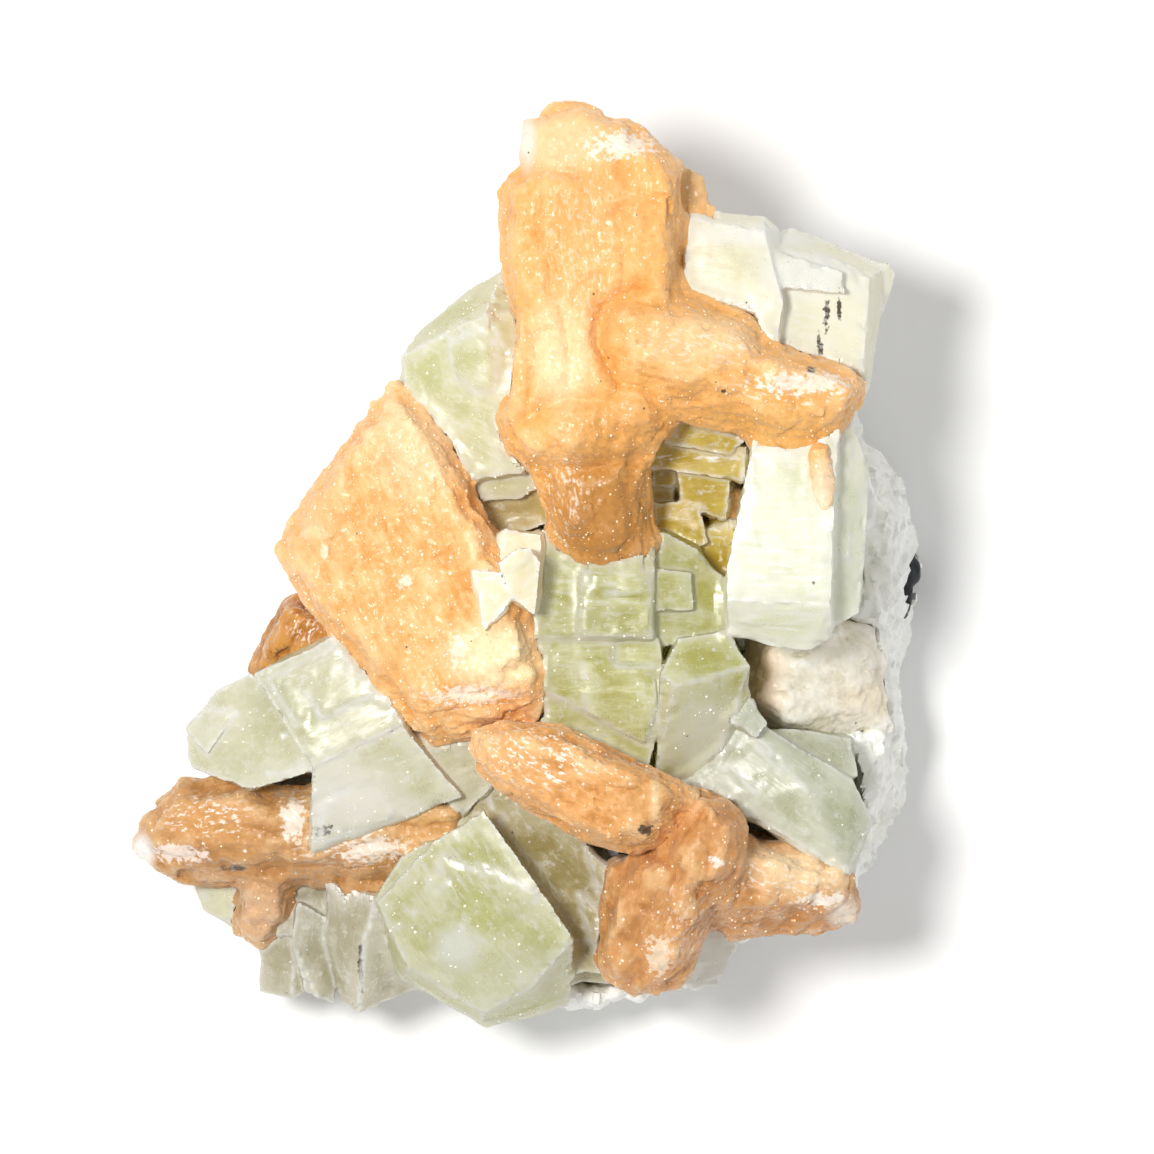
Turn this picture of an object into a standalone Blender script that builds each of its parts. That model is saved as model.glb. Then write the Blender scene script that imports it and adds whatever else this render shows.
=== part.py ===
# Stilbite with apophyllite: a hand specimen lying on its sawn-flat rock side, seen from above.
# X runs to the right, Y up the specimen's length and Z out of the rock, towards the viewer.
# Corner points are written in millimetres and made metres by MM.

import math
import random

import bmesh
import bpy
from mathutils import Matrix, Vector, noise

MM = 0.001
SPECIMEN = "stilbite_with_apophyllite"

# Room between two crystals that touch, so that every one stays a solid of its own
GAP = 0.3
# At a sharp corner, that room never reaches further out than this many gaps
CORNER_REACH = 2.2
FLAT_CORNER_PULL = 0.001

# Faces that turn less than this against each other are one crystal face
ONE_FACE_ANGLE = math.radians(2.0)
# Corners closer than this after a cut are one
WELD = 0.001

# Depths in the specimen, above the flat cut
ROCK_TOP = 18.0
ROOT_LEVEL = 13.0
ROOT_TOP = 19.0
ROOT_BREAK = 0.8
ROOT_BREAK_PITCH = 0.7
ROOT_BREAK_SEED = 4

# Growth plates on the flat faces of apophyllite: how far they stand out, and how deep they reach
STEP_LOW = 0.25
STEP_HIGH = 0.55
STEP_ROOT = 1.5

# Sizes of the facets and lumps on the grown-rough minerals
STILBITE_VOXEL = 0.6
STILBITE_LUMP = 0.38
STILBITE_GRAIN = 2.6
STILBITE_RIB_PITCH = 1.9
STILBITE_RIB_HEIGHT = 0.22
STILBITE_RIB_WANDER = 1.2
STILBITE_PROUD = 0.15
STILBITE_ROOM = 0.35
ROCK_VOXEL = 1.3
ROCK_LUMP = 1.5
ROCK_GRAIN = 7.5
ROCK_PROUD = 1.5
# The rock makes room for all the roots of a piece together, up to here
ROCK_REACH = 22.0
# What the rock's flat underside is cut with
SAW_WIDTH = 120.0
SAW_DEPTH = 20.0

PEACH = (0.84, 0.49, 0.20, 1.0)
PALE_PEACH = (0.88, 0.72, 0.55, 1.0)
PALE_GREEN = (0.74, 0.77, 0.60, 1.0)
OLIVE = (0.43, 0.42, 0.17, 1.0)
NEAR_WHITE = (0.86, 0.88, 0.78, 1.0)
CHALK = (0.76, 0.77, 0.70, 1.0)
LAVA_BLACK = (0.03, 0.03, 0.035, 1.0)


# Noise vectors start from the clock unless they have a seed
noise.seed_set(ROOT_BREAK_SEED)

# The scene is emptied first, object by object
for stray in list(bpy.data.objects):
    bpy.data.objects.remove(stray, do_unlink=True)

specimen = bpy.data.collections.new(SPECIMEN)
bpy.context.scene.collection.children.link(specimen)
cutters = bpy.data.collections.new("cutters")
bpy.context.scene.collection.children.link(cutters)

# For each piece by name, the cutters that keep its neighbours off, and its socket in the rock
rooms = {}
sockets = {}


def finish(name, colour, roughness):
    material = bpy.data.materials.new(name)
    material.use_nodes = True
    shader = material.node_tree.nodes["Principled BSDF"]
    shader.inputs["Base Color"].default_value = colour
    shader.inputs["Roughness"].default_value = roughness
    shader.inputs["Metallic"].default_value = 0.0
    return material


# Closed solids

def solid_from(bm, name):
    bmesh.ops.recalc_face_normals(bm, faces=bm.faces)
    mesh = bpy.data.meshes.new(name)
    bm.to_mesh(mesh)
    bm.free()
    body = bpy.data.objects.new(name, mesh)
    specimen.objects.link(body)
    return body


def convex(corners):
    """One crystal as the convex body around its corners."""
    bm = bmesh.new()
    for corner in corners:
        bm.verts.new(Vector(corner) * MM)
    shell = bmesh.ops.convex_hull(bm, input=bm.verts)
    spare = shell["geom_interior"] + shell["geom_unused"]
    inner = list({part for part in spare if isinstance(part, bmesh.types.BMVert)})
    bmesh.ops.delete(bm, geom=inner, context="VERTS")
    bmesh.ops.dissolve_limit(bm, angle_limit=ONE_FACE_ANGLE, verts=bm.verts, edges=bm.edges)
    return solid_from(bm, "crystal")


def crystal(corners):
    """A crystal whose hidden root corners are broken unevenly, no two on one plane."""
    broken = []
    for corner in corners:
        place = Vector(corner)
        if place.z < ROOT_TOP:
            place += noise.noise_vector(place * ROOT_BREAK_PITCH) * ROOT_BREAK
        broken.append(place)
    return convex(broken)


def centre_of(corners):
    return sum((Vector(corner) for corner in corners), Vector()) / len(corners)


def block(top, root=ROOT_LEVEL, lean=(0.0, 0.0), spread=1.0):
    """A crystal from its top face: the same outline goes down to the root level."""
    middle = centre_of(top)
    foot = []
    for corner in top:
        along = middle + (Vector(corner) - middle) * spread
        foot.append((along.x + lean[0], along.y + lean[1], root))
    return crystal(list(top) + foot)


def blade(rim, crown, root=ROOT_LEVEL, lean=(0.0, 0.0), spread=0.7):
    """A blade of stilbite: a rim, the crown edge above it, and a narrower root."""
    middle = centre_of(rim)
    foot = []
    for corner in rim:
        along = middle + (Vector(corner) - middle) * spread
        foot.append((along.x + lean[0], along.y + lean[1], root))
    return crystal(list(rim) + list(crown) + foot)


def level(outline, height):
    return [(x, y, height) for x, y in outline]


def evaluated_copy(body):
    graph = bpy.context.evaluated_depsgraph_get()
    return bpy.data.meshes.new_from_object(body.evaluated_get(graph))


def apply_modifiers(body):
    settled = evaluated_copy(body)
    body.modifiers.clear()
    body.data = settled


def outward_move(vertex):
    """The move that brings every face at this corner out by one, in the least-squares sense."""
    pull = Matrix.Identity(3) * FLAT_CORNER_PULL
    aim = Vector()
    for face in vertex.link_faces:
        normal = face.normal
        for row in range(3):
            for column in range(3):
                pull[row][column] += normal[row] * normal[column]
        aim += normal
    move = pull.inverted_safe() @ aim
    if move.length > CORNER_REACH:
        move = move.normalized() * CORNER_REACH
    return move


def cutter_from(corners, name):
    cutter = convex(corners)
    specimen.objects.unlink(cutter)
    cutters.objects.link(cutter)
    cutter.name = name
    cutter.hide_render = True
    cutter.display_type = "WIRE"
    return cutter


def room_around(body, width):
    """The crystal again, grown by a width on every face: what its neighbours are cut with."""
    bm = bmesh.new()
    bm.from_mesh(body.data)
    bm.normal_update()
    grown = [(vertex.co + outward_move(vertex) * width * MM) / MM for vertex in bm.verts]
    bm.free()
    return cutter_from(grown, "room around a crystal")


def socket_around(room_cutters):
    """One socket in the rock for all the roots of a piece."""
    roots = []
    for cutter in room_cutters:
        bm = bmesh.new()
        bm.from_mesh(cutter.data)
        every = bm.verts[:] + bm.edges[:] + bm.faces[:]
        level_of_rock = (0.0, 0.0, ROCK_REACH * MM)
        bmesh.ops.bisect_plane(
            bm, geom=every, plane_co=level_of_rock, plane_no=(0.0, 0.0, 1.0), clear_outer=True)
        roots += [vertex.co / MM for vertex in bm.verts]
        bm.free()
    return cutter_from(roots, "socket in the rock") if roots else None


def combine(body, tool, operation, solver="EXACT"):
    cut = body.modifiers.new(operation.lower(), "BOOLEAN")
    cut.operation = operation
    cut.solver = solver
    cut.object = tool
    apply_modifiers(body)


def grown_together(name, crystals, proud=0.0):
    """Crystals that run into each other become one solid, and their neighbours leave them room."""
    rooms[name] = [room_around(crystal, GAP + proud) for crystal in crystals]
    sockets[name] = socket_around(rooms[name])
    body = crystals[0]
    for crystal in crystals[1:]:
        combine(body, crystal, "UNION")
        bpy.data.objects.remove(crystal, do_unlink=True)
    body.name = name
    body.data.name = name
    return body


def edit(body, change):
    bm = bmesh.new()
    bm.from_mesh(body.data)
    change(bm)
    bm.to_mesh(body.data)
    bm.free()
    body.data.update()


def tidy(bm):
    bmesh.ops.remove_doubles(bm, verts=bm.verts, dist=WELD * MM)
    bmesh.ops.triangulate(bm, faces=bm.faces)


def islands(bm):
    waiting = set(bm.verts)
    while waiting:
        start = waiting.pop()
        island = [start]
        for vertex in island:
            for edge in vertex.link_edges:
                other = edge.other_vert(vertex)
                if other in waiting:
                    waiting.remove(other)
                    island.append(other)
        yield island


def volume_inside(island):
    triangles = {face for vertex in island for face in vertex.link_faces}
    volume = 0.0
    for triangle in triangles:
        a, b, c = [vertex.co for vertex in triangle.verts]
        volume += a.dot(b.cross(c)) / 6.0
    return volume


def keep_largest(bm):
    """A cut can part a sliver from a crystal: only the main body stays."""
    groups = sorted(islands(bm), key=volume_inside, reverse=True)
    slivers = [vertex for group in groups[1:] for vertex in group]
    bmesh.ops.delete(bm, geom=slivers, context="VERTS")


# Growth surfaces

def remeshed(body, voxel):
    remesh = body.modifiers.new("even skin", "REMESH")
    remesh.mode = "VOXEL"
    remesh.voxel_size = voxel * MM
    remesh.adaptivity = 0.0
    apply_modifiers(body)


def thinned(body, triangles):
    present = sum(len(face.vertices) - 2 for face in body.data.polygons)
    thin = body.modifiers.new("facets", "DECIMATE")
    thin.ratio = min(1.0, triangles / present)
    thin.use_collapse_triangulate = True
    apply_modifiers(body)


def roughened(body, voxel, lump, grain, proud, triangles, along=None):
    """Lumps all over, and ribs that run along the blade where it has a direction."""
    remeshed(body, voxel)

    def raise_lumps(bm):
        bm.normal_update()
        moves = []
        for vertex in bm.verts:
            place = vertex.co / MM
            height = lump * noise.noise(place / grain)
            height += 0.5 * lump * noise.noise(place / (0.45 * grain))
            if along is not None:
                across = Vector((-along.y, along.x, 0.0))
                wave = place.dot(across) + STILBITE_RIB_WANDER * noise.noise(place / (2.0 * grain))
                height += STILBITE_RIB_HEIGHT * math.sin(math.tau * wave / STILBITE_RIB_PITCH)
            moves.append(vertex.normal * min(height, proud) * MM)
        for vertex, move in zip(bm.verts, moves):
            vertex.co += move

    edit(body, raise_lumps)
    thinned(body, triangles)
    return body


def stilbite(name, crystals, triangles, along):
    body = grown_together(name, crystals, STILBITE_ROOM)
    direction = Vector((along[0], along[1], 0.0)).normalized()
    return roughened(
        body, STILBITE_VOXEL, STILBITE_LUMP, STILBITE_GRAIN, STILBITE_PROUD, triangles, direction)


def growth_steps(top, count, size, seed):
    """Thin plates in parallel growth: a crystal's top outline again, smaller and a little higher."""
    dice = random.Random(seed)
    middle = centre_of(top)
    side = Vector(top[1]) - Vector(top[0])
    normal = side.cross(Vector(top[2]) - Vector(top[1])).normalized()
    if normal.z < 0.0:
        normal = -normal
    steps = []
    for number in range(count):
        share = size * dice.uniform(0.7, 1.0)
        towards = Vector(top[dice.randrange(len(top))])
        slide = (towards - middle) * (1.0 - share) * dice.uniform(0.55, 0.9)
        rise = normal * dice.uniform(STEP_LOW, STEP_HIGH)
        plate = [middle + slide + (Vector(corner) - middle) * share for corner in top]
        upper = [corner + rise for corner in plate]
        lower = [corner - normal * STEP_ROOT for corner in plate]
        steps.append(convex(upper + lower))
    return steps


# Fitting neighbours to each other

def reach(body):
    corners = [vertex.co for vertex in body.data.vertices]
    low = Vector(min(corner[axis] for corner in corners) for axis in range(3))
    high = Vector(max(corner[axis] for corner in corners) for axis in range(3))
    return low, high


def near(body, other):
    low, high = reach(body)
    other_low, other_high = reach(other)
    room = 2.0 * GAP * MM
    return all(low[a] < other_high[a] + room and high[a] > other_low[a] - room for a in range(3))


def fitted(crystals, base):
    """Each piece gives way to those that grew before it in the list, and the rock to all.

    Many of these cuts meet at shallow angles, where the exact solver loses whole bodies.
    """
    for number, body in enumerate(crystals):
        for earlier in crystals[:number]:
            for cutter in rooms[earlier.name]:
                if near(body, cutter):
                    combine(body, cutter, "DIFFERENCE", "MANIFOLD")
    for piece in crystals:
        socket = sockets[piece.name]
        if socket and near(base, socket):
            combine(base, socket, "DIFFERENCE", "MANIFOLD")
    for body in crystals + [base]:
        edit(body, tidy)
        edit(body, keep_largest)


# Stilbite: peach-coloured sheaves of blades

def top_cross():
    tip = blade(
        rim=[(-0.3, 44.0, 36), (3.9, 46.2, 36), (6.7, 45.8, 36.5), (11.4, 43.4, 37), (14.0, 42.0, 37),
             (15.6, 39.6, 37), (14.0, 35.0, 37), (-0.4, 37.6, 36)],
        crown=[(1.6, 43.6, 38.6), (5.4, 44.8, 39.6), (11.0, 42.0, 41.0), (13.6, 39.2, 42.0),
               (7.0, 38.6, 41.6), (0.8, 38.8, 39.6)],
        root=27.0, lean=(0.0, -6.0), spread=0.75)
    upright = blade(
        rim=[(-2.6, 37.4, 36), (-0.4, 39.4, 36.5), (15.5, 39.4, 37), (15.7, 34.0, 37), (15.2, 25.0, 37),
             (9.0, 19.5, 37), (1.0, 19.5, 36), (-0.5, 23.0, 36), (-2.2, 29.2, 36), (-2.6, 32.0, 36)],
        crown=[(-1.0, 37.2, 39.6), (4.0, 39.2, 41.0), (13.8, 38.0, 42.4), (13.6, 27.0, 42.0),
               (7.5, 21.0, 42.0), (1.4, 21.0, 41.0), (-0.7, 30.0, 40.2)],
        root=20.0, lean=(0.5, -3.0), spread=0.72)
    side_step = block(
        level([(14.5, 39.9), (17.4, 38.8), (18.0, 36.4), (18.4, 34.6), (18.0, 30.0), (14.0, 30.0)], 34.5),
        root=24.0, lean=(-1.5, -1.0), spread=0.8)
    waist = block(
        [(-0.4, 24.5, 41.2), (9.0, 24.0, 42.2), (9.2, 18.5, 42.2), (12.5, 14.5, 41.5), (5.0, 12.0, 41.8),
         (-1.6, 14.6, 41.0), (-0.3, 18.4, 41.4)],
        root=16.0, spread=0.9)
    shoulder = blade(
        rim=[(-2.4, 14.8, 38), (-2.2, 12.8, 38), (-0.4, 10.2, 38), (3.0, 8.4, 38), (10.6, 9.0, 38),
             (14.5, 13.0, 38), (15.5, 15.5, 38), (10.0, 19.0, 38), (0.0, 18.5, 38)],
        crown=[(-1.0, 14.2, 41.0), (0.8, 11.6, 40.9), (5.0, 12.2, 42.2), (9.0, 16.0, 42.4),
               (13.0, 14.8, 40.8)],
        root=16.0, spread=0.85)
    bar_near = blade(
        rim=[(6.4, 25.8, 38), (11.2, 27.6, 37.5), (14.8, 27.0, 37.5), (18.8, 25.6, 37), (22.6, 24.6, 36.5),
             (24.4, 20.6, 36.5), (22.4, 12.3, 36), (17.9, 14.8, 37), (12.0, 15.2, 38), (7.0, 19.0, 38)],
        crown=[(9.6, 24.4, 43.6), (12.4, 25.0, 43.4), (21.2, 22.4, 42.0), (22.2, 17.6, 42.0),
               (12.0, 19.6, 43.8)],
        root=22.0, lean=(0.0, 1.0), spread=0.8)
    bar_far = blade(
        rim=[(20.0, 23.4, 36.5), (23.8, 21.4, 36.5), (25.4, 19.7, 36.5), (30.6, 19.6, 36), (33.2, 18.9, 36),
             (33.9, 17.5, 35.5), (33.5, 15.9, 35.5), (32.2, 14.3, 35), (28.6, 11.2, 35), (25.8, 10.3, 35),
             (24.0, 10.9, 35), (20.2, 13.4, 35.5)],
        crown=[(22.0, 20.4, 42.0), (25.6, 18.2, 41.4), (31.6, 17.8, 40.4), (32.0, 16.2, 40.2),
               (27.2, 14.4, 40.6), (22.4, 15.6, 41.4)],
        root=25.0, lean=(-1.0, 1.0), spread=0.7)
    stub = blade(
        rim=[(0.2, 11.8, 36.5), (0.9, 9.2, 36), (1.9, 5.4, 35), (3.4, 1.8, 34), (5.4, 0.0, 33),
             (8.0, -1.0, 32), (10.2, -0.9, 32), (12.2, 0.4, 32.5), (12.9, 1.9, 33), (12.0, 3.6, 34),
             (10.7, 4.9, 35), (10.5, 9.4, 36), (12.0, 13.0, 37)],
        crown=[(2.6, 10.6, 39.6), (4.6, 4.2, 38.6), (6.6, 1.8, 37.6), (9.2, 2.8, 37.8), (9.0, 6.0, 38.8),
               (9.2, 11.0, 39.8), (11.4, 1.4, 35.2)],
        root=19.0, lean=(0.0, 1.5), spread=0.7)
    arms = [upright, tip, side_step, waist, shoulder, bar_near, bar_far, stub]
    return stilbite("stilbite_top_cross", arms, 880, (0.1, 1.0))


def left_plate():
    plate = blade(
        rim=[(-13.2, 18.3, 31), (-10.6, 14.8, 31.5), (-7.6, 12.2, 32), (-6.0, 9.2, 32), (-3.9, 4.9, 32.5),
             (0.5, -5.4, 33), (1.1, -10.2, 33), (-10.0, -16.4, 32), (-12.3, -15.3, 31.5),
             (-17.8, -8.8, 31), (-22.9, -2.6, 30), (-25.1, 1.6, 29.5), (-23.4, 4.0, 29.5),
             (-20.3, 9.5, 30), (-16.1, 13.6, 30.5)],
        crown=[(-12.4, 15.2, 35.6), (-9.6, 12.4, 36.4), (-5.6, 3.8, 38.0), (-1.2, -5.2, 38.8),
               (-0.6, -9.0, 38.4), (-9.4, -13.0, 37.0), (-16.0, -8.0, 36.0), (-21.8, -0.8, 34.4),
               (-22.0, 2.4, 34.0), (-17.4, 10.0, 35.0)],
        root=16.0, lean=(1.5, -1.0), spread=0.72)
    lower_band = blade(
        rim=[(-10.2, -12.4, 34), (1.3, -9.6, 34), (1.7, -15.4, 32), (-2.4, -15.0, 31.5),
             (-5.2, -17.0, 31), (-8.8, -17.7, 31), (-11.0, -16.6, 32)],
        crown=[(-9.4, -13.6, 36.4), (0.4, -10.8, 37.4), (-0.4, -13.4, 35.6), (-7.6, -15.8, 34.6)],
        root=18.0, lean=(0.0, 1.0), spread=0.85)
    knuckle = blade(
        rim=[(-5.2, 3.4, 35), (-3.9, 4.2, 35), (-3.4, 2.6, 35), (-4.4, 0.6, 35), (-6.2, 1.2, 35)],
        crown=[(-4.4, 2.4, 38.6), (-5.0, 1.8, 38.6)],
        root=26.0)
    return stilbite("stilbite_left_plate", [plate, lower_band, knuckle], 640, (-0.5, 1.0))


def small_left():
    small = blade(
        rim=[(-24.9, -3.7, 22), (-22.9, -3.0, 22), (-17.0, -6.0, 22), (-19.0, -9.5, 21),
             (-27.9, -11.2, 20), (-26.6, -7.6, 21)],
        crown=[(-23.8, -4.8, 26.6), (-19.0, -6.6, 27.0), (-21.0, -8.4, 26.4), (-25.8, -9.2, 24.8)],
        root=11.0, lean=(3.0, -1.0), spread=0.75)
    return stilbite("stilbite_small_left", [small], 150, (0.45, 1.0))


def lower_bar():
    bar = blade(
        rim=[(-5.6, -18.4, 37), (-5.0, -16.8, 37), (-2.6, -15.8, 37), (1.2, -15.6, 37.5),
             (6.2, -17.4, 38), (13.2, -21.2, 38), (17.1, -22.5, 37.5), (16.6, -24.6, 37),
             (13.8, -27.1, 36.5), (12.0, -28.7, 36.5), (9.6, -28.8, 36.5), (5.6, -27.3, 36.5),
             (0.3, -24.4, 36), (-2.6, -22.7, 36), (-4.6, -20.2, 36)],
        crown=[(-4.2, -18.2, 40.2), (-1.8, -16.8, 40.4), (5.4, -18.8, 42.2), (14.2, -22.4, 42.0),
               (12.0, -25.8, 41.8), (8.0, -26.6, 41.2), (1.0, -22.6, 40.6), (-2.8, -20.8, 40.2)],
        root=22.0, lean=(0.5, -1.0), spread=0.66)
    return stilbite("stilbite_lower_bar", [bar], 340, (1.0, -0.5))


def bow_tie():
    knob = blade(
        rim=[(17.6, -22.6, 35), (20.9, -24.0, 35), (22.2, -27.0, 35), (21.6, -30.6, 35),
             (20.0, -34.0, 34), (15.0, -33.0, 34), (13.0, -29.0, 35), (14.6, -25.4, 35)],
        crown=[(18.0, -24.2, 39.4), (20.2, -26.0, 39.6), (20.0, -30.0, 39.6), (16.6, -31.6, 39.8),
               (15.6, -28.6, 40.0)],
        root=17.0, lean=(-0.5, 0.0), spread=0.85)
    upright = blade(
        rim=[(12.6, -28.4, 34), (19.8, -31.0, 34), (18.0, -36.5, 32), (16.8, -40.4, 30.5),
             (14.4, -42.8, 29), (10.6, -43.0, 29), (7.8, -41.6, 29), (7.2, -40.1, 29.5),
             (7.8, -34.5, 31), (8.6, -30.2, 33)],
        crown=[(13.0, -30.4, 38.6), (17.0, -32.4, 38.8), (14.6, -38.8, 35.4), (12.6, -41.4, 33.4),
               (9.2, -40.4, 33.0), (9.6, -34.0, 35.8)],
        root=13.0, lean=(0.5, 1.5), spread=0.8)
    arm = blade(
        rim=[(19.0, -27.4, 31), (22.4, -27.5, 30), (26.2, -28.8, 29), (30.9, -29.7, 28),
             (32.4, -31.4, 27), (33.5, -33.6, 26), (33.3, -36.0, 25), (29.6, -36.9, 25),
             (25.2, -36.6, 26), (20.5, -37.4, 27), (17.0, -36.0, 29)],
        crown=[(20.0, -29.4, 35.0), (25.6, -30.2, 33.4), (31.2, -31.6, 31.0), (32.0, -33.8, 29.6),
               (26.0, -33.6, 32.6), (20.0, -34.0, 34.4)],
        root=11.0, lean=(-1.0, 1.5), spread=0.75)
    return stilbite("stilbite_bow_tie", [upright, knob, arm], 600, (0.35, 1.0))


def lower_left():
    left_end = blade(
        rim=[(-39.8, -28.9, 19), (-38.9, -25.9, 20), (-36.6, -23.4, 21), (-34.4, -21.6, 21.5),
             (-28.0, -21.8, 22), (-24.0, -24.0, 22), (-24.0, -32.0, 19), (-28.9, -31.2, 18.5),
             (-32.7, -32.1, 18), (-34.6, -32.3, 18), (-36.8, -30.8, 18)],
        crown=[(-37.4, -27.6, 23.0), (-35.0, -24.0, 24.8), (-28.0, -24.0, 26.6), (-25.0, -26.0, 26.8),
               (-26.0, -29.0, 25.6), (-34.0, -29.2, 23.4)],
        root=9.0, lean=(3.0, 0.0), spread=0.75)
    middle = blade(
        rim=[(-26.0, -22.4, 22), (-12.0, -23.0, 23), (-12.0, -31.0, 20), (-19.8, -32.3, 19),
             (-24.2, -32.6, 19)],
        crown=[(-25.0, -24.4, 27.2), (-13.0, -25.0, 27.4), (-14.0, -29.2, 26.2), (-24.0, -29.6, 25.6)],
        root=9.0, lean=(1.5, 1.0), spread=0.85)
    right_lobe = blade(
        rim=[(-15.0, -21.8, 23), (-6.5, -23.4, 24), (-5.2, -24.8, 24), (-6.1, -28.2, 22.5),
             (-7.8, -30.3, 22), (-12.4, -31.0, 21)],
        crown=[(-13.6, -23.4, 28.6), (-7.4, -24.6, 28.4), (-7.6, -27.6, 27.4), (-12.6, -28.8, 26.8)],
        root=11.0, spread=0.85)
    lower_lobe = blade(
        rim=[(-19.9, -31.0, 19), (-12.0, -30.0, 19), (-13.4, -32.6, 17), (-15.1, -34.4, 15.5),
             (-18.4, -34.3, 15.5)],
        crown=[(-18.6, -31.0, 24.0), (-13.4, -30.6, 23.6), (-15.6, -33.0, 21.4), (-17.8, -33.0, 21.2)],
        root=8.0, lean=(0.5, 1.5), spread=0.8)
    stub = blade(
        rim=[(-28.8, -30.6, 17), (-23.8, -31.0, 17), (-24.2, -36.3, 15), (-26.8, -38.8, 13.5),
             (-29.5, -37.0, 14)],
        crown=[(-27.6, -31.4, 22.2), (-25.0, -31.6, 22.2), (-25.2, -35.4, 20.0), (-27.0, -37.0, 18.6),
               (-28.2, -35.8, 19.4)],
        root=7.0, lean=(0.5, 1.5), spread=0.75)
    return stilbite("stilbite_lower_left", [left_end, middle, right_lobe, lower_lobe, stub], 620, (1.0, 0.05))


def pocket_blade():
    narrow = blade(
        rim=[(18.8, 7.4, 23), (21.4, 7.8, 23), (21.2, 0.0, 22), (19.2, -0.4, 22), (18.4, 3.6, 22)],
        crown=[(19.6, 6.8, 27.4), (20.8, 6.8, 27.6), (20.4, 1.2, 26.4), (19.4, 2.6, 26.4)],
        root=14.0, spread=0.9)
    return stilbite("stilbite_pocket_blade", [narrow], 90, (0.0, 1.0))


def pale_fan():
    fan = blade(
        rim=[(23.2, -6.6, 20), (21.8, -13.6, 20), (24.2, -16.4, 19), (30.0, -17.4, 18),
             (36.6, -16.4, 15), (36.0, -11.0, 15.5), (34.4, -6.6, 17), (30.0, -5.6, 19)],
        crown=[(24.6, -8.0, 25.6), (23.8, -13.4, 25.0), (26.0, -15.0, 24.6), (33.0, -14.8, 20.6),
               (33.6, -8.6, 21.4), (29.4, -7.4, 24.2)],
        root=11.0, lean=(-1.0, 0.0), spread=0.85)
    return stilbite("stilbite_pale_fan", [fan], 190, (1.0, -0.35))


# Apophyllite: blocky pale green crystals, square prisms with flat ends in parallel growth

def top_right():
    near_top = [(14.9, 33.8, 35.6), (16.0, 34.6, 36.0), (23.8, 33.0, 36.0), (25.6, 26.0, 37.0),
                (24.0, 15.0, 37.2), (14.0, 18.0, 37.2)]
    near_block = crystal(near_top + [
        (15.2, 35.4, 34.4), (18.5, 35.0, 34.2), (23.8, 34.6, 33.6), (25.2, 33.4, 33.0),
        (15.0, 33.6, 18), (24.6, 33.6, 17), (27.0, 16.0, 16), (15.0, 18.0, 16)])
    far_top = [(23.6, 32.0, 34.4), (29.6, 30.2, 33.4), (34.4, 28.6, 32.4), (34.0, 24.4, 33.2),
               (33.4, 16.0, 34.0), (24.0, 16.0, 35.4)]
    far_block = crystal(far_top + [
        (26.8, 33.6, 29.5), (30.2, 31.0, 30.0), (32.9, 30.5, 29.5), (36.2, 29.8, 28.6),
        (35.6, 25.4, 28.6), (34.4, 18.0, 29.0), (24.0, 33.4, 16), (33.6, 28.6, 15), (33.6, 17.6, 14),
        (24.0, 17.0, 14)])
    wing = crystal([
        (31.0, 30.7, 30.2), (36.6, 30.2, 29.0), (37.0, 29.0, 28.6), (36.5, 27.0, 28.4),
        (35.8, 25.0, 28.4), (33.9, 23.2, 28.6), (30.0, 24.0, 31.4), (30.0, 29.0, 23), (35.0, 28.0, 22),
        (34.6, 25.6, 22), (31.0, 24.0, 20)])
    ledge = crystal([
        (24.4, 31.4, 35.6), (31.6, 29.2, 34.6), (31.8, 27.0, 35.0), (24.6, 27.6, 36.4),
        (24.4, 31.4, 30), (31.6, 29.2, 30), (31.8, 27.0, 30), (24.6, 27.6, 30)])
    blocks = [near_block, far_block, wing, ledge]
    blocks += growth_steps(near_top, 2, 0.55, 11)
    blocks += growth_steps(far_top[:4], 1, 0.5, 12)
    return grown_together("apophyllite_top_right", blocks)


def right_column():
    face = [(22.8, 12.4, 37.4), (31.2, 14.4, 36.8), (30.6, 4.0, 38.4), (30.4, -4.0, 38.2),
            (20.0, -3.6, 37.8), (20.0, -0.4, 38.0), (21.0, 4.4, 38.0)]
    prism = crystal(face + [
        (20.4, -6.9, 34.6), (24.8, -8.2, 34.2), (28.4, -8.5, 34.2), (30.6, -7.2, 34.6),
        (23.0, 12.4, 15), (31.0, 14.0, 15), (30.4, -6.4, 14), (21.0, -5.8, 14)])
    strip = crystal([
        (29.8, 14.6, 35.4), (32.4, 14.6, 33.4), (34.2, 9.6, 32.6), (33.9, 0.8, 32.4), (33.3, -4.8, 32.0),
        (30.4, -6.4, 33.0), (29.8, 4.0, 36.6), (30.0, 13.8, 13), (33.0, 12.6, 13), (33.0, -3.6, 12),
        (29.6, -5.4, 12)])
    rib = crystal([
        (31.6, 12.4, 34.6), (32.6, 12.0, 34.0), (32.4, 0.4, 34.2), (31.4, 0.8, 35.0), (31.6, 12.4, 30),
        (32.6, 12.0, 30), (32.4, 0.4, 30), (31.4, 0.8, 30)])
    blocks = [prism, strip, rib] + growth_steps(face[1:5], 2, 0.6, 21)
    return grown_together("apophyllite_right_column", blocks)


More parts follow.
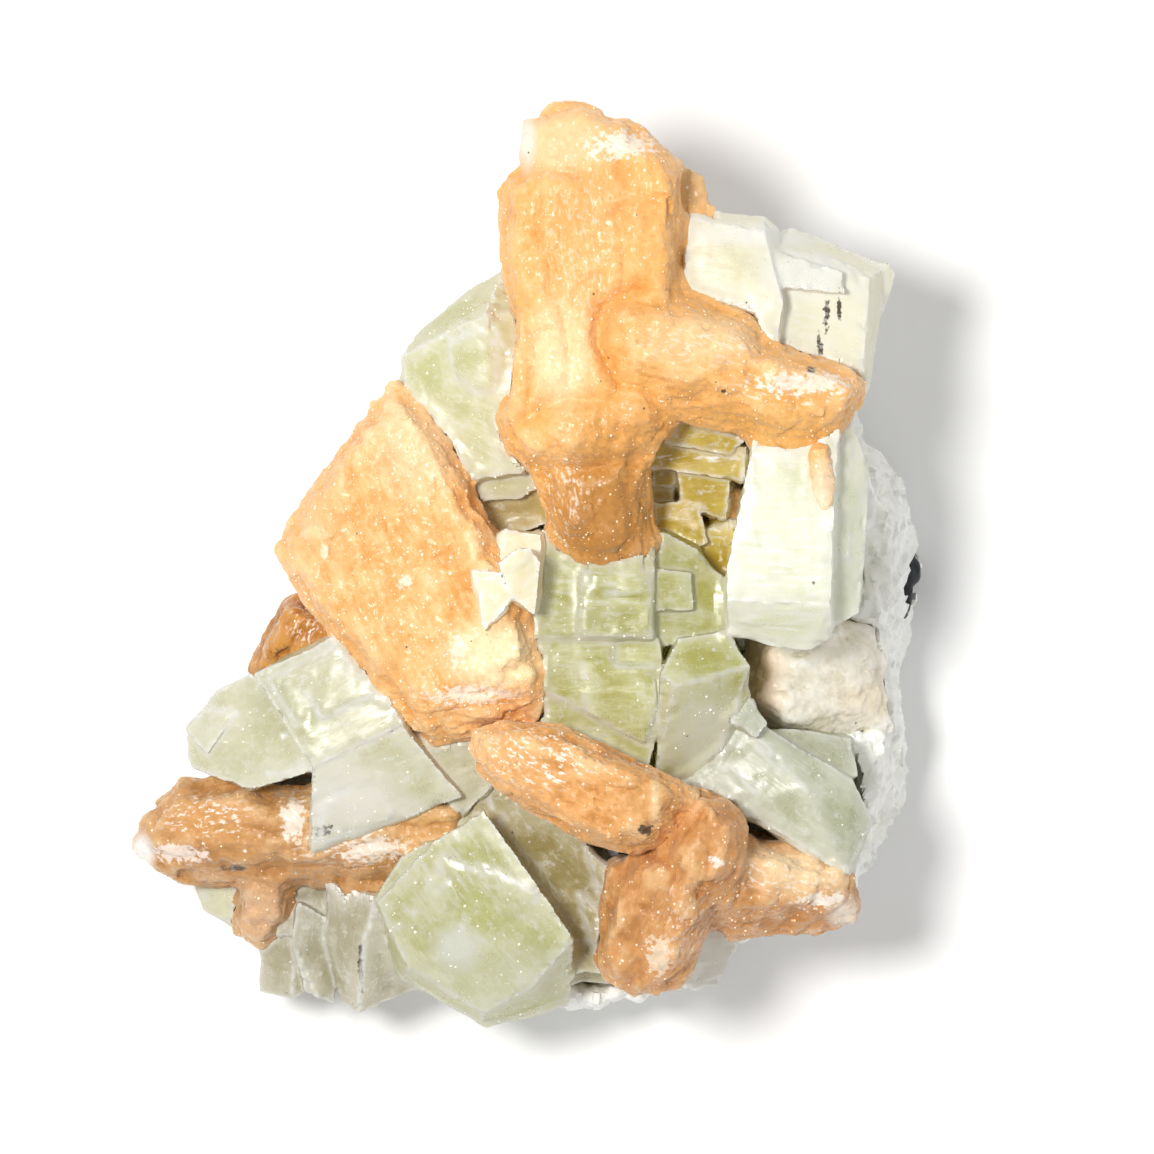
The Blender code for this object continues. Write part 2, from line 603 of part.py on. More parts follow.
def upper_left():
    face = [(-4.0, 25.0, 35.6), (-12.4, 20.8, 31.4), (-11.0, 13.4, 31.8), (-5.6, 8.4, 32.8),
            (-0.2, 9.2, 33.6), (0.2, 17.6, 34.6)]
    corner_block = crystal(face + [
        (-12.6, 18.4, 29.0), (-10.6, 23.4, 28.0), (-5.6, 27.6, 28.0), (-2.2, 29.3, 28.4), (1.0, 25.0, 32.0),
        (-10.0, 19.0, 15), (-8.0, 11.0, 15), (1.0, 8.0, 15), (3.0, 27.0, 15), (-4.0, 25.6, 15)])
    foot = crystal([
        (-5.4, 9.6, 31.2), (1.6, 9.4, 31.2), (1.0, 7.6, 31.0), (-0.6, 6.6, 30.6), (-4.6, 6.4, 30.6),
        (-5.2, 9.4, 20), (1.4, 9.2, 20), (0.6, 6.8, 20), (-4.4, 6.6, 20)])
    olive_floor = crystal([
        (-5.0, 8.0, 25.4), (2.0, 8.0, 25.8), (2.4, 3.0, 25.0), (-4.0, 2.0, 24.6), (-5.0, 8.0, 12),
        (2.0, 8.0, 12), (2.0, 3.0, 12), (-4.0, 3.0, 12)])
    blocks = [corner_block, foot, olive_floor] + growth_steps(face, 2, 0.55, 31)
    return grown_together("apophyllite_upper_left", blocks)


def pocket_crust():
    shelf_top = [(13.4, 12.4, 31.8), (20.6, 10.8, 31.4), (21.8, 12.6, 31.8), (18.0, 16.6, 32.4),
                 (12.6, 16.0, 32.4)]
    shelf = block(shelf_top, root=14.0, spread=0.95)
    left_cube_top = [(10.2, 12.8, 27.8), (15.4, 11.0, 27.0), (14.6, 4.4, 26.0), (10.0, 4.8, 26.8)]
    left_cube = block(left_cube_top, root=13.0)
    right_cube_top = [(15.0, 11.2, 29.4), (20.8, 10.2, 29.8), (20.0, 4.6, 28.4), (15.6, 5.6, 28.0)]
    right_cube = block(right_cube_top, root=13.0)
    front_cube_top = [(12.6, 6.0, 28.0), (17.2, 6.6, 28.4), (18.2, 2.2, 28.8), (13.4, 1.4, 28.2)]
    front_cube = block(front_cube_top, root=13.0)
    bead = crystal([
        (10.2, 10.6, 30.4), (12.0, 10.2, 30.8), (12.2, 8.6, 30.2), (10.6, 8.4, 29.8), (10.0, 9.4, 29.0),
        (10.4, 10.0, 23), (12.0, 9.4, 23), (11.0, 8.6, 23)])
    floor = block(level([(9.6, 15.0), (21.0, 14.0), (20.4, 2.0), (9.8, 2.4)], 23.6), root=12.5)
    blocks = [floor, shelf, left_cube, right_cube, front_cube, bead]
    blocks += growth_steps(left_cube_top, 1, 0.6, 41)
    return grown_together("apophyllite_pocket_crust", blocks)


def centre():
    upper_top = [(1.6, 3.2, 34.4), (12.8, 3.0, 34.6), (13.0, -7.6, 35.2), (1.0, -7.4, 35.0)]
    upper = block(upper_top, root=13.0, spread=0.97)
    lower_top = [(1.0, -7.0, 34.2), (13.4, -7.2, 34.4), (14.0, -14.0, 34.0), (12.0, -21.0, 33.0),
                 (6.0, -18.0, 33.2), (1.5, -15.6, 33.4)]
    lower = block(lower_top, root=12.0, lean=(0.4, 0.5), spread=0.97)
    step_cube = block(
        [(12.4, 3.0, 32.6), (14.1, 3.0, 32.4), (17.2, 1.4, 32.0), (17.4, -0.8, 32.0), (19.9, -1.8, 31.4),
         (19.8, -7.4, 31.6), (12.0, -8.4, 33.4)],
        root=13.0, spread=0.96)
    ledge_top = [(12.4, -0.4, 33.8), (16.6, -0.8, 33.6), (16.8, -4.6, 33.6), (12.2, -4.8, 34.0)]
    ledge = block(ledge_top, root=24.0)
    cube_top = [(15.2, -7.4, 35.0), (19.8, -6.7, 34.4), (22.5, -10.2, 34.2), (14.9, -12.2, 36.0),
                (13.5, -10.9, 36.0)]
    near_cube = crystal(cube_top + [
        (14.6, -18.6, 31.6), (21.9, -14.0, 30.0), (18.2, -21.0, 29.0), (13.0, -21.6, 31.0),
        (14.0, -8.0, 14), (21.0, -8.0, 14), (21.4, -12.4, 13), (17.6, -19.6, 12), (13.0, -19.0, 12)])
    blocks = [upper, lower, step_cube, ledge, near_cube]
    blocks += growth_steps(upper_top, 3, 0.6, 51)
    blocks += growth_steps(lower_top, 2, 0.6, 52)
    return grown_together("apophyllite_centre", blocks)


def plate_edge():
    wedge = crystal([
        (-5.4, -0.6, 39.4), (-2.6, -0.8, 40.2), (-1.2, -3.4, 40.4), (-4.1, -6.6, 39.8), (-4.6, -3.0, 40.6),
        (-5.0, -0.8, 32), (-1.0, -1.0, 32), (-1.0, -4.0, 32), (-3.8, -6.0, 33)])
    tall = crystal([
        (-2.6, 0.1, 41.2), (-0.6, 1.6, 41.4), (0.6, 1.6, 41.0), (1.5, 0.2, 40.4), (1.2, -2.3, 39.8),
        (0.9, -5.0, 39.2), (-1.4, -3.2, 40.2), (-2.4, 0.0, 30), (1.4, 1.0, 29), (1.0, -4.4, 30),
        (-1.2, -3.0, 30)])
    back = crystal([
        (-3.8, 2.0, 34.6), (-2.0, 3.5, 35.4), (1.6, 3.0, 36.0), (1.6, 0.6, 37.0), (-2.6, -0.4, 37.0),
        (-3.6, 1.6, 22), (1.6, 3.0, 21), (1.6, 0.0, 22), (-2.6, 0.0, 22)])
    return grown_together("apophyllite_plate_edge", [back, tall, wedge])


def lower_right():
    face = [(17.8, -16.4, 29.6), (19.2, -13.4, 29.2), (23.0, -17.0, 30.2), (27.9, -22.3, 31.4),
            (32.2, -30.8, 30.0), (21.6, -24.4, 30.8), (15.6, -21.8, 30.0)]
    slab = crystal(face + [
        (32.6, -21.4, 29.4), (34.8, -25.7, 27.6), (32.6, -31.3, 27.2), (18.0, -16.0, 13), (28.0, -20.0, 12),
        (33.4, -25.0, 12), (31.6, -30.0, 12), (17.0, -22.0, 13)])
    shoulder = crystal([
        (22.8, -16.4, 26.6), (28.0, -16.6, 25.0), (32.6, -17.4, 23.6), (33.2, -21.2, 26.8),
        (27.9, -22.4, 29.6), (23.0, -17.6, 12), (32.4, -18.0, 12), (32.4, -22.0, 12)])
    cap = crystal([
        (19.1, -13.4, 31.4), (20.4, -13.0, 31.6), (22.6, -13.7, 31.4), (24.2, -15.9, 31.2),
        (23.0, -17.3, 31.8), (21.0, -16.0, 32.2), (19.2, -13.6, 25), (22.6, -14.0, 24), (24.0, -16.0, 24),
        (22.8, -17.4, 25)])
    blocks = [slab, shoulder, cap] + growth_steps(face[2:], 2, 0.55, 61)
    return grown_together("apophyllite_lower_right", blocks)


def left_blocks():
    main_top = [(-27.0, -11.0, 30.6), (-18.6, -7.0, 32.6), (-12.0, -16.0, 33.4), (-21.3, -20.4, 32.4)]
    main_block = block(main_top, root=12.0, lean=(1.5, 1.0), spread=0.9)
    back_top = [(-27.6, -10.9, 28.0), (-30.9, -12.6, 26.4), (-34.0, -16.2, 24.4), (-34.0, -19.0, 24.2),
                (-33.4, -20.4, 24.2), (-27.6, -22.6, 26.8), (-21.0, -20.6, 29.6), (-24.0, -13.0, 30.0)]
    back_block = block(back_top, root=11.0, lean=(2.5, 0.5), spread=0.8)
    notch_block = block(
        [(-29.0, -15.0, 27.6), (-31.9, -14.4, 26.0), (-34.3, -16.4, 24.8), (-32.0, -19.0, 26.0)],
        root=13.0, lean=(1.5, 0.0), spread=0.9)
    frosted_top = [(-21.4, -20.4, 32.0), (-12.2, -16.2, 33.0), (-6.4, -23.2, 30.4), (-14.0, -26.0, 28.6),
                   (-21.4, -28.8, 27.6)]
    frosted = block(frosted_top, root=13.0, lean=(0.5, 3.0), spread=0.85)
    green_back = block(
        [(-12.6, -15.6, 29.6), (-5.4, -17.0, 30.0), (-3.4, -22.0, 28.6), (-6.2, -25.0, 28.2),
         (-12.0, -20.0, 30.0)],
        root=13.0)
    blocks = [main_block, back_block, notch_block, frosted, green_back]
    blocks += growth_steps(main_top, 2, 0.6, 71)
    blocks += growth_steps(frosted_top, 2, 0.55, 72)
    blocks += growth_steps(back_top[2:], 1, 0.55, 73)
    return grown_together("apophyllite_left", blocks)


def bottom_centre():
    face = [(-4.2, -24.6, 33.0), (1.5, -32.4, 33.6), (4.8, -37.4, 33.0), (0.6, -42.4, 28.8),
            (-4.2, -45.0, 26.2), (-11.8, -40.4, 27.0), (-14.9, -33.8, 28.4), (-9.0, -27.6, 31.4)]
    big = crystal(face + [
        (-12.6, -41.6, 18.0), (-4.2, -46.6, 17.0), (1.4, -45.2, 18.0), (4.4, -43.6, 20.0),
        (3.6, -38.4, 20.0), (-5.0, -27.0, 11), (2.4, -36.0, 11), (1.0, -42.0, 9), (-4.0, -43.0, 8),
        (-10.0, -39.0, 9), (-13.0, -33.0, 11)])
    ledge = crystal([
        (-15.2, -33.6, 27.0), (-12.6, -29.4, 28.8), (-9.0, -27.4, 30.4), (-7.0, -31.0, 31.6),
        (-13.6, -37.0, 27.8), (-14.0, -33.0, 12), (-10.0, -29.0, 12), (-9.0, -33.0, 12)])
    toe = crystal([
        (-10.6, -42.7, 20.0), (-6.4, -45.0, 20.0), (-4.0, -46.6, 20.4), (1.2, -45.4, 21.0),
        (4.3, -44.1, 20.0), (4.0, -40.0, 23.0), (-8.0, -38.0, 24.0), (-9.4, -41.4, 7), (-4.0, -44.4, 6),
        (3.6, -42.6, 7), (0.0, -38.0, 7)])
    blocks = [big, ledge, toe]
    blocks += growth_steps([face[1], face[3], face[5], face[7]], 3, 0.6, 81)
    return grown_together("apophyllite_bottom_centre", blocks)


def between():
    top = [(-4.0, -22.0, 27.6), (3.0, -25.0, 27.6), (8.6, -30.4, 27.0), (8.2, -35.0, 26.0),
           (7.4, -41.0, 24.4), (2.4, -40.4, 24.4), (-2.0, -30.0, 26.4)]
    slab = block(top, root=10.0, lean=(0.0, 1.0), spread=0.95)
    foot = crystal([
        (2.0, -39.4, 23.0), (8.0, -40.4, 22.0), (8.4, -42.2, 19.0), (3.0, -41.8, 19.0), (2.6, -38.0, 9),
        (7.6, -38.4, 9), (7.8, -41.0, 9), (3.0, -41.0, 9)])
    blocks = [slab, foot] + growth_steps(top[1:5], 2, 0.6, 91)
    return grown_together("apophyllite_between", blocks)


def bottom_left():
    ridge = crystal([
        (-16.2, -37.8, 21.0), (-17.0, -45.4, 15.6), (-15.0, -33.6, 23.4), (-10.4, -42.7, 15.0),
        (-12.0, -38.0, 20.0), (-19.8, -32.0, 21.6), (-18.8, -44.6, 13.4), (-20.4, -38.0, 16.6),
        (-17.0, -44.0, 5), (-11.6, -41.0, 5), (-13.0, -34.0, 5), (-20.0, -34.0, 5), (-19.4, -42.0, 5)])
    middle = crystal([
        (-23.0, -34.0, 19.4), (-19.4, -36.0, 17.2), (-19.0, -44.5, 12.4), (-21.2, -44.0, 14.0),
        (-22.4, -43.2, 13.4), (-23.6, -38.0, 18.0), (-23.0, -35.0, 5), (-19.0, -35.0, 5),
        (-19.4, -42.6, 4), (-22.4, -42.0, 4)])
    left = crystal([
        (-26.8, -38.0, 15.4), (-27.3, -43.2, 11.6), (-24.0, -43.8, 12.6), (-22.2, -43.2, 12.0),
        (-22.6, -34.0, 17.6), (-26.0, -34.0, 17.0), (-25.4, -35.0, 5), (-26.2, -41.8, 4),
        (-22.6, -42.0, 4), (-22.0, -35.0, 5)])
    return grown_together("apophyllite_bottom_left", [ridge, middle, left])


def back_left():
    piece = crystal([
        (-33.2, -30.6, 15.4), (-33.2, -32.0, 14.6), (-32.2, -34.6, 13.2), (-29.6, -37.2, 11.6),
        (-27.0, -37.6, 12.4), (-26.0, -33.0, 15.0), (-27.0, -29.0, 17.0), (-31.8, -31.0, 5),
        (-31.0, -33.6, 4), (-28.8, -35.6, 4), (-26.0, -34.0, 4), (-26.0, -29.0, 5)])
    return grown_together("apophyllite_back_left", [piece])


def bottom_right():
    piece = crystal([
        (14.0, -35.0, 18.6), (21.2, -35.6, 17.4), (21.4, -37.4, 16.4), (21.2, -39.8, 14.6),
        (19.4, -42.6, 12.2), (17.0, -42.6, 12.6), (14.6, -41.0, 14.8), (15.0, -35.0, 4),
        (20.2, -36.0, 4), (20.0, -39.4, 3), (18.4, -41.2, 3), (15.4, -40.0, 4)])
    return grown_together("apophyllite_bottom_right", [piece])


# The rock: white quartz and chalcedony, and a last flake of black lava

ROCK_RIM = [(33.0, 14.0), (35.2, 11.2), (37.8, 8.2), (38.8, 4.2), (39.3, 1.0), (38.5, -5.2), (37.9, -11.4),
            (38.8, -17.0), (38.2, -23.8), (35.0, -29.8), (32.0, -33.0), (26.0, -35.4), (21.0, -38.0),
            (16.4, -42.8), (11.5, -43.4), (8.4, -43.2), (6.6, -44.6), (4.2, -44.4), (-4.0, -43.0),
            (-16.0, -41.0), (-24.0, -40.0), (-29.0, -34.0), (-32.0, -27.0), (-31.0, -17.0), (-25.0, -9.0),
            (-22.0, 0.0), (-18.0, 9.0), (-11.0, 20.0), (-4.0, 26.0), (2.0, 34.0), (14.0, 33.0),
            (26.0, 30.0), (31.6, 24.0), (33.0, 18.0)]


def rock_layer(shrink, low, high, shift=(0.0, 0.0)):
    """One layer of the rock: the rim's outline, drawn in towards the middle."""
    middle = centre_of([(x, y, 0.0) for x, y in ROCK_RIM])
    bm = bmesh.new()
    ring = []
    for x, y in ROCK_RIM:
        flat = middle + (Vector((x, y, 0.0)) - middle) * shrink
        ring.append(bm.verts.new(Vector((flat.x + shift[0], flat.y + shift[1], low)) * MM))
    sheet = bm.faces.new(ring)
    raised = bmesh.ops.extrude_face_region(bm, geom=[sheet])
    top = [part for part in raised["geom"] if isinstance(part, bmesh.types.BMVert)]
    bmesh.ops.translate(bm, verts=top, vec=(0.0, 0.0, (high - low) * MM))
    return solid_from(bm, "layer")


def rock():
    layers = [
        rock_layer(1.0, 3.0, 11.0),
        rock_layer(0.955, -2.0, 14.0),
        rock_layer(0.86, 1.0, ROCK_TOP, shift=(1.0, 0.0)),
        crystal([(30.0, 14.0, 20), (34.0, 9.0, 19), (37.0, 2.0, 16), (36.0, -6.0, 15), (30.0, -8.0, 20),
                (28.0, 4.0, 24), (30.0, 14.0, 8), (37.0, 3.0, 8), (36.0, -7.0, 8), (28.0, -8.0, 8)]),
        crystal([(30.0, -16.0, 19), (36.6, -15.0, 16), (37.2, -22.0, 15), (33.6, -29.0, 15),
                (30.0, -31.0, 18), (28.0, -22.0, 22), (30.0, -16.0, 8), (37.0, -20.0, 8),
                (33.0, -31.0, 8), (26.0, -26.0, 8)]),
        block(level([(-4.0, 4.0), (10.0, 16.0), (22.0, 12.0), (20.0, -20.0), (-2.0, -24.0)], 20.0), root=6.0),
    ]
    body = grown_together("matrix", layers)
    roughened(body, ROCK_VOXEL, ROCK_LUMP, ROCK_GRAIN, ROCK_PROUD, 1000)
    below = Matrix.Translation((0.0, 0.0, -0.5 * SAW_DEPTH * MM))
    size = Matrix.Diagonal((SAW_WIDTH * MM, SAW_WIDTH * MM, SAW_DEPTH * MM, 1.0))
    bm = bmesh.new()
    bmesh.ops.create_cube(bm, size=1.0, matrix=below @ size)
    saw = solid_from(bm, "saw")
    combine(body, saw, "DIFFERENCE")
    bpy.data.objects.remove(saw, do_unlink=True)
    return body


def lava_flake():
    upper = crystal([
        (36.6, 1.6, 8.6), (39.2, 1.6, 8.2), (40.0, 0.0, 7.8), (39.8, -1.8, 7.6), (38.6, -2.2, 8.4),
        (36.4, -2.0, 9.0), (37.0, 1.0, 2.0), (38.8, 0.6, 2.0), (38.6, -1.6, 2.0), (37.0, -1.6, 2.0)])
    lower = crystal([
        (36.4, -1.4, 7.4), (39.2, -1.6, 6.8), (39.2, -4.2, 6.4), (38.4, -5.2, 6.4), (36.2, -4.8, 7.0),
        (36.8, -1.6, 2.4), (38.6, -2.0, 2.4), (38.2, -4.4, 2.4), (36.8, -4.4, 2.4)])
    return grown_together("basalt_remnant", [upper, lower])


# The whole specimen, in the order in which one crystal gives way to another

peach = finish("stilbite peach", PEACH, 0.4)
pale_peach = finish("stilbite pale", PALE_PEACH, 0.45)
green = finish("apophyllite pale green", PALE_GREEN, 0.15)
olive = finish("apophyllite olive", OLIVE, 0.2)
pearl = finish("apophyllite pearl", NEAR_WHITE, 0.2)
chalk = finish("quartz and chalcedony", CHALK, 0.55)
lava = finish("basalt", LAVA_BLACK, 0.7)

pieces = [
    (top_cross(), peach),
    (lower_bar(), peach),
    (bow_tie(), peach),
    (left_plate(), peach),
    (plate_edge(), pearl),
    (left_blocks(), green),
    (lower_left(), peach),
    (bottom_centre(), green),
    (small_left(), peach),
    (right_column(), pearl),
    (top_right(), green),
    (upper_left(), green),
    (centre(), green),
    (lower_right(), green),
    (pocket_blade(), peach),
    (pocket_crust(), olive),
    (pale_fan(), pale_peach),
    (between(), green),
    (bottom_left(), green),
    (back_left(), green),
    (bottom_right(), pearl),
    (lava_flake(), lava),
    (rock(), chalk),
]

grown = [body for body, material in pieces]
fitted(grown[:-1], grown[-1])

for body, material in pieces:
    body.data.materials.clear()
    body.data.materials.append(material)

# The origin goes to the middle of the underside
corners = [vertex.co for body, material in pieces for vertex in body.data.vertices]
low = Vector(min(corner[axis] for corner in corners) for axis in range(3))
high = Vector(max(corner[axis] for corner in corners) for axis in range(3))
to_origin = Matrix.Translation((-(low.x + high.x) / 2.0, -(low.y + high.y) / 2.0, -low.z))
for body, material in pieces:
    body.data.transform(to_origin)

for cutter in list(cutters.objects):
    bpy.data.objects.remove(cutter, do_unlink=True)
bpy.data.collections.remove(cutters)
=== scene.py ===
# Stilbite with apophyllite: a hand specimen of peach blades and pale green blocks on white rock.
# It lies on the rock's flat underside: X is right, Y up the specimen's length, Z towards the viewer.

import math
import random

import bmesh
import bpy
import numpy as np
from mathutils import Euler, Matrix, Vector, kdtree, noise
from mathutils.bvhtree import BVHTree


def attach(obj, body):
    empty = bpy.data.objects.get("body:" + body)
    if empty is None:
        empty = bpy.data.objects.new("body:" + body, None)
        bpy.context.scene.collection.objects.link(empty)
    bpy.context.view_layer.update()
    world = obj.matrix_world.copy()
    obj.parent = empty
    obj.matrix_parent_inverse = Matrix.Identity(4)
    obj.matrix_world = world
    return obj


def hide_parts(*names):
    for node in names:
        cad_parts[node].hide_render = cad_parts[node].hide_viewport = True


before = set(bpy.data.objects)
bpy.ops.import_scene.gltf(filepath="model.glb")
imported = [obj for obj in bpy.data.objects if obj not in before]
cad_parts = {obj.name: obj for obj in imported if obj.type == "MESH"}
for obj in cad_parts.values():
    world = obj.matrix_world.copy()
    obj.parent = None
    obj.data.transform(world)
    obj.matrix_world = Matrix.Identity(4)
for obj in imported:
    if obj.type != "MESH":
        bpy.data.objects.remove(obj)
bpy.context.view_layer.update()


# The rock that everything grew on: white quartz and chalcedony lining a hollow in lava,
# sugary on top, smooth as porcelain along its right rim, and sawn flat underneath.

MM = 0.001
WELD = 0.01 * MM
TOUCH_REACH = 1.4
TOUCH_SWELL = 0.45
TOUCH_RISE = 1.7
BULGE_ROUNDS = 40
NOISE_SEED = 5
WASH_REACH = 1.35
WASH_FADE = 0.8
PAINTED_GLINT_REACH = 1.3
PAINTED_GLINT_FADE = 0.6
NO_STAIN = -1.5
TEAR_SCALE = 1500.0
TEAR_DEPTH = 2.4
TEAR_EDGE = 0.4
CELL_STRIDE = 7.3
ROCK_SKIN = 0.62
ROCK_SAWN = 2.0
SAWN_LEVEL = 0.25
ROCK_LUMPS = 0.5
ROCK_LUMP_SIZES = (4.5, 2.0)
ROCK_SUGAR = 0.8
ROCK_CRYSTAL = 1.5
ROCK_SMOOTH = math.radians(40.0)
ROCK_MOTTLE_SCALE = 300.0
ROCK_FINE_SCALE = 1500.0
# Lumps along the lower edge: x, y and radius
SCALLOPS = [(4.4, -43.2, 1.5), (6.6, -43.6, 1.3), (8.8, -42.7, 1.4), (11.0, -42.9, 1.2), (2.2, -43.4, 1.2)]
SCALLOP_LEVEL = 12.5
SCALLOP_DEPTH = 4.0

# Noise vectors start from the clock unless they have a seed
noise.seed_set(NOISE_SEED)


def choose(piece):
    bpy.ops.object.select_all(action="DESELECT")
    piece.select_set(True)
    bpy.context.view_layer.objects.active = piece


def in_edit_mode(piece, operator, **settings):
    """Runs one operator on the whole mesh."""
    choose(piece)
    bpy.ops.object.mode_set(mode="EDIT")
    bpy.ops.mesh.select_all(action="SELECT")
    operator(**settings)
    bpy.ops.object.mode_set(mode="OBJECT")


def copy_of(node, name):
    """The node's solid again as a piece of its own, its loose triangles welded."""
    piece = bpy.data.objects.new(name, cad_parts[node].data.copy())
    piece.data.name = name
    piece.data.materials.clear()
    bpy.context.scene.collection.objects.link(piece)
    in_edit_mode(piece, bpy.ops.mesh.remove_doubles, threshold=WELD)
    return piece


def settle(piece):
    """Applies the piece's modifiers."""
    choose(piece)
    for modifier in list(piece.modifiers):
        bpy.ops.object.modifier_apply(modifier=modifier.name)


def joined(piece, others):
    choose(piece)
    for other in others:
        other.select_set(True)
    bpy.ops.object.join()


def blob(place, size, turn=0.0, lean=0.0):
    """A rounded lump, its place and half sizes in millimetres."""
    bpy.ops.object.select_all(action="DESELECT")
    bpy.ops.mesh.primitive_ico_sphere_add(subdivisions=3, radius=1.0)
    lump = bpy.context.object
    spin = Euler((0.0, lean, turn)).to_matrix().to_4x4()
    stretch = Matrix.Diagonal((size[0] * MM, size[1] * MM, size[2] * MM, 1.0))
    lump.data.transform(Matrix.Translation(Vector(place) * MM) @ spin @ stretch)
    return lump


def even_skin(piece, voxel):
    remesh = piece.modifiers.new("skin", "REMESH")
    remesh.mode = "VOXEL"
    remesh.voxel_size = voxel * MM
    settle(piece)


def read_points(piece, key):
    flat = np.empty(len(piece.data.vertices) * 3)
    piece.data.vertices.foreach_get(key, flat)
    return flat.reshape(-1, 3)


def corners_of(piece):
    return read_points(piece, "co")


def normals_of(piece):
    return read_points(piece, "normal")


def put_corners(piece, places):
    piece.data.vertices.foreach_set("co", places.ravel())
    piece.data.update()


def moved_out(piece, heights):
    """Moves each point along its normal, by so many millimetres."""
    put_corners(piece, corners_of(piece) + normals_of(piece) * np.asarray(heights)[:, None] * MM)


def touching(piece, node):
    """How much each point swells to meet the solids next to it, so that no gap is left between them."""
    corners = []
    faces = []
    for name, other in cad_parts.items():
        if name == node:
            continue
        start = len(corners)
        corners += [vertex.co for vertex in other.data.vertices]
        faces += [[start + number for number in face.vertices] for face in other.data.polygons]
    others = BVHTree.FromPolygons(corners, faces)
    swell = []
    for place in corners_of(piece):
        away = others.find_nearest(Vector(place), TOUCH_REACH * MM)[3]
        near = 0.0 if away is None else 1.0 - away / (TOUCH_REACH * MM)
        swell.append(TOUCH_SWELL * min(1.0, TOUCH_RISE * near))
    return np.array(swell)


def store(piece, name, kind, values):
    """Keeps a value for each point, which the materials read by its name."""
    layer = piece.data.attributes.new(name, kind, "POINT")
    key = {"FLOAT": "value", "FLOAT_VECTOR": "vector", "FLOAT_COLOR": "color"}[kind]
    layer.data.foreach_set(key, np.asarray(values, dtype=np.float32).ravel())


def keep_bulge(piece):
    """Stores how far each point stands out from the surface around it, in millimetres."""
    places = corners_of(piece)
    ends = np.empty(len(piece.data.edges) * 2, dtype=np.int32)
    piece.data.edges.foreach_get("vertices", ends)
    one, two = ends[0::2], ends[1::2]
    links = np.bincount(ends, minlength=len(places))
    smooth = places.copy()
    for turn in range(BULGE_ROUNDS):
        for axis in range(3):
            along = smooth[:, axis]
            total = np.bincount(one, along[two], len(places)) + np.bincount(two, along[one], len(places))
            smooth[:, axis] = total / links
    store(piece, "bulge", "FLOAT", ((places - smooth) * normals_of(piece)).sum(axis=1) / MM)


def how_far(places, centre, size):
    """0 at the centre of a patch, 1 at its edge: all in millimetres."""
    return np.sqrt((((places - centre) / size) ** 2).sum(axis=1))


def paint(piece, washes=(), stains=(), painted_glints=()):
    """Soft washes, torn stains and painted glints (glittering patches painted white), each by centre, half
    sizes and colour or strength.
    """
    places = corners_of(piece) / MM
    wash = np.zeros((len(places), 4))
    for centre, size, tint in washes:
        share = tint[3] * np.clip((WASH_REACH - how_far(places, centre, size)) / WASH_FADE, 0.0, 1.0)
        below = wash[:, 3] * (1.0 - share)
        total = np.maximum(share + below, 1e-6)
        wash[:, :3] = (share[:, None] * tint[:3] + below[:, None] * wash[:, :3]) / total[:, None]
        wash[:, 3] = share + below
    stain = np.zeros((len(places), 4))
    near = np.full(len(places), NO_STAIN)
    for centre, size, tint in stains:
        inside = 1.0 - how_far(places, centre, size)
        stain[inside > near] = tint
        near = np.maximum(near, inside)
    # Painted glints: how strongly the colour is whitened to stand in for glitter in the light.
    painted_glint = np.zeros(len(places))
    for centre, size, strength in painted_glints:
        away = how_far(places, centre, size)
        painted_glint = np.maximum(painted_glint, strength * np.clip((PAINTED_GLINT_REACH - away) / PAINTED_GLINT_FADE, 0.0, 1.0))
    store(piece, "painted_glint", "FLOAT", painted_glint)
    store(piece, "wash", "FLOAT_COLOR", wash)
    store(piece, "stain", "FLOAT_COLOR", stain)
    store(piece, "stain_near", "FLOAT", near)


def broken(place, size):
    """The height, in millimetres, of a surface broken into small faces that all tilt their own way."""
    point = noise.voronoi(place / size)[1][0]
    tilt = noise.cell_vector(point * CELL_STRIDE) - Vector((0.5, 0.5, 0.5))
    return tilt.dot(place - point * size)


def add_node(tree, kind, inputs=(), **settings):
    """A shader node with its settings, and with values or other nodes' outputs put in."""
    made = tree.nodes.new("ShaderNode" + kind)
    for key, value in settings.items():
        setattr(made, key, value)
    for key, value in dict(inputs).items():
        if isinstance(value, bpy.types.NodeSocket):
            tree.links.new(value, made.inputs[key])
        else:
            made.inputs[key].default_value = value
    return made


def calc(tree, operation, first, second=0.0, third=0.0):
    return add_node(tree, "Math", {0: first, 1: second, 2: third}, operation=operation).outputs[0]


def between(tree, value, low, high, to_low=0.0, to_high=1.0):
    """A smooth step: to_low where the value is low, to_high where it is high."""
    inputs = {"Value": value, "From Min": low, "From Max": high, "To Min": to_low, "To Max": to_high}
    made = add_node(tree, "MapRange", inputs, interpolation_type="SMOOTHSTEP")
    return made.outputs["Result"]


def tinted(tree, mask, below, above):
    """One colour laid over another where the mask is 1."""
    made = add_node(tree, "Mix", {0: mask, 6: below, 7: above}, data_type="RGBA")
    return made.outputs[2]


def cloudy(tree, where, scale, detail=4.0, rough=0.55):
    inputs = {"Vector": where, "Scale": scale, "Detail": detail, "Roughness": rough}
    return add_node(tree, "TexNoise", inputs).outputs["Fac"]


def new_group(name, inputs, outputs):
    """An empty node group with the sockets named."""
    group = bpy.data.node_groups.new(name, "ShaderNodeTree")
    for socket, kind, value in inputs:
        made = group.interface.new_socket(name=socket, in_out="INPUT", socket_type="NodeSocket" + kind)
        if value is not None:
            made.default_value = value
    for socket, kind in outputs:
        group.interface.new_socket(name=socket, in_out="OUTPUT", socket_type="NodeSocket" + kind)
    return group, group.nodes.new("NodeGroupInput").outputs, group.nodes.new("NodeGroupOutput").inputs


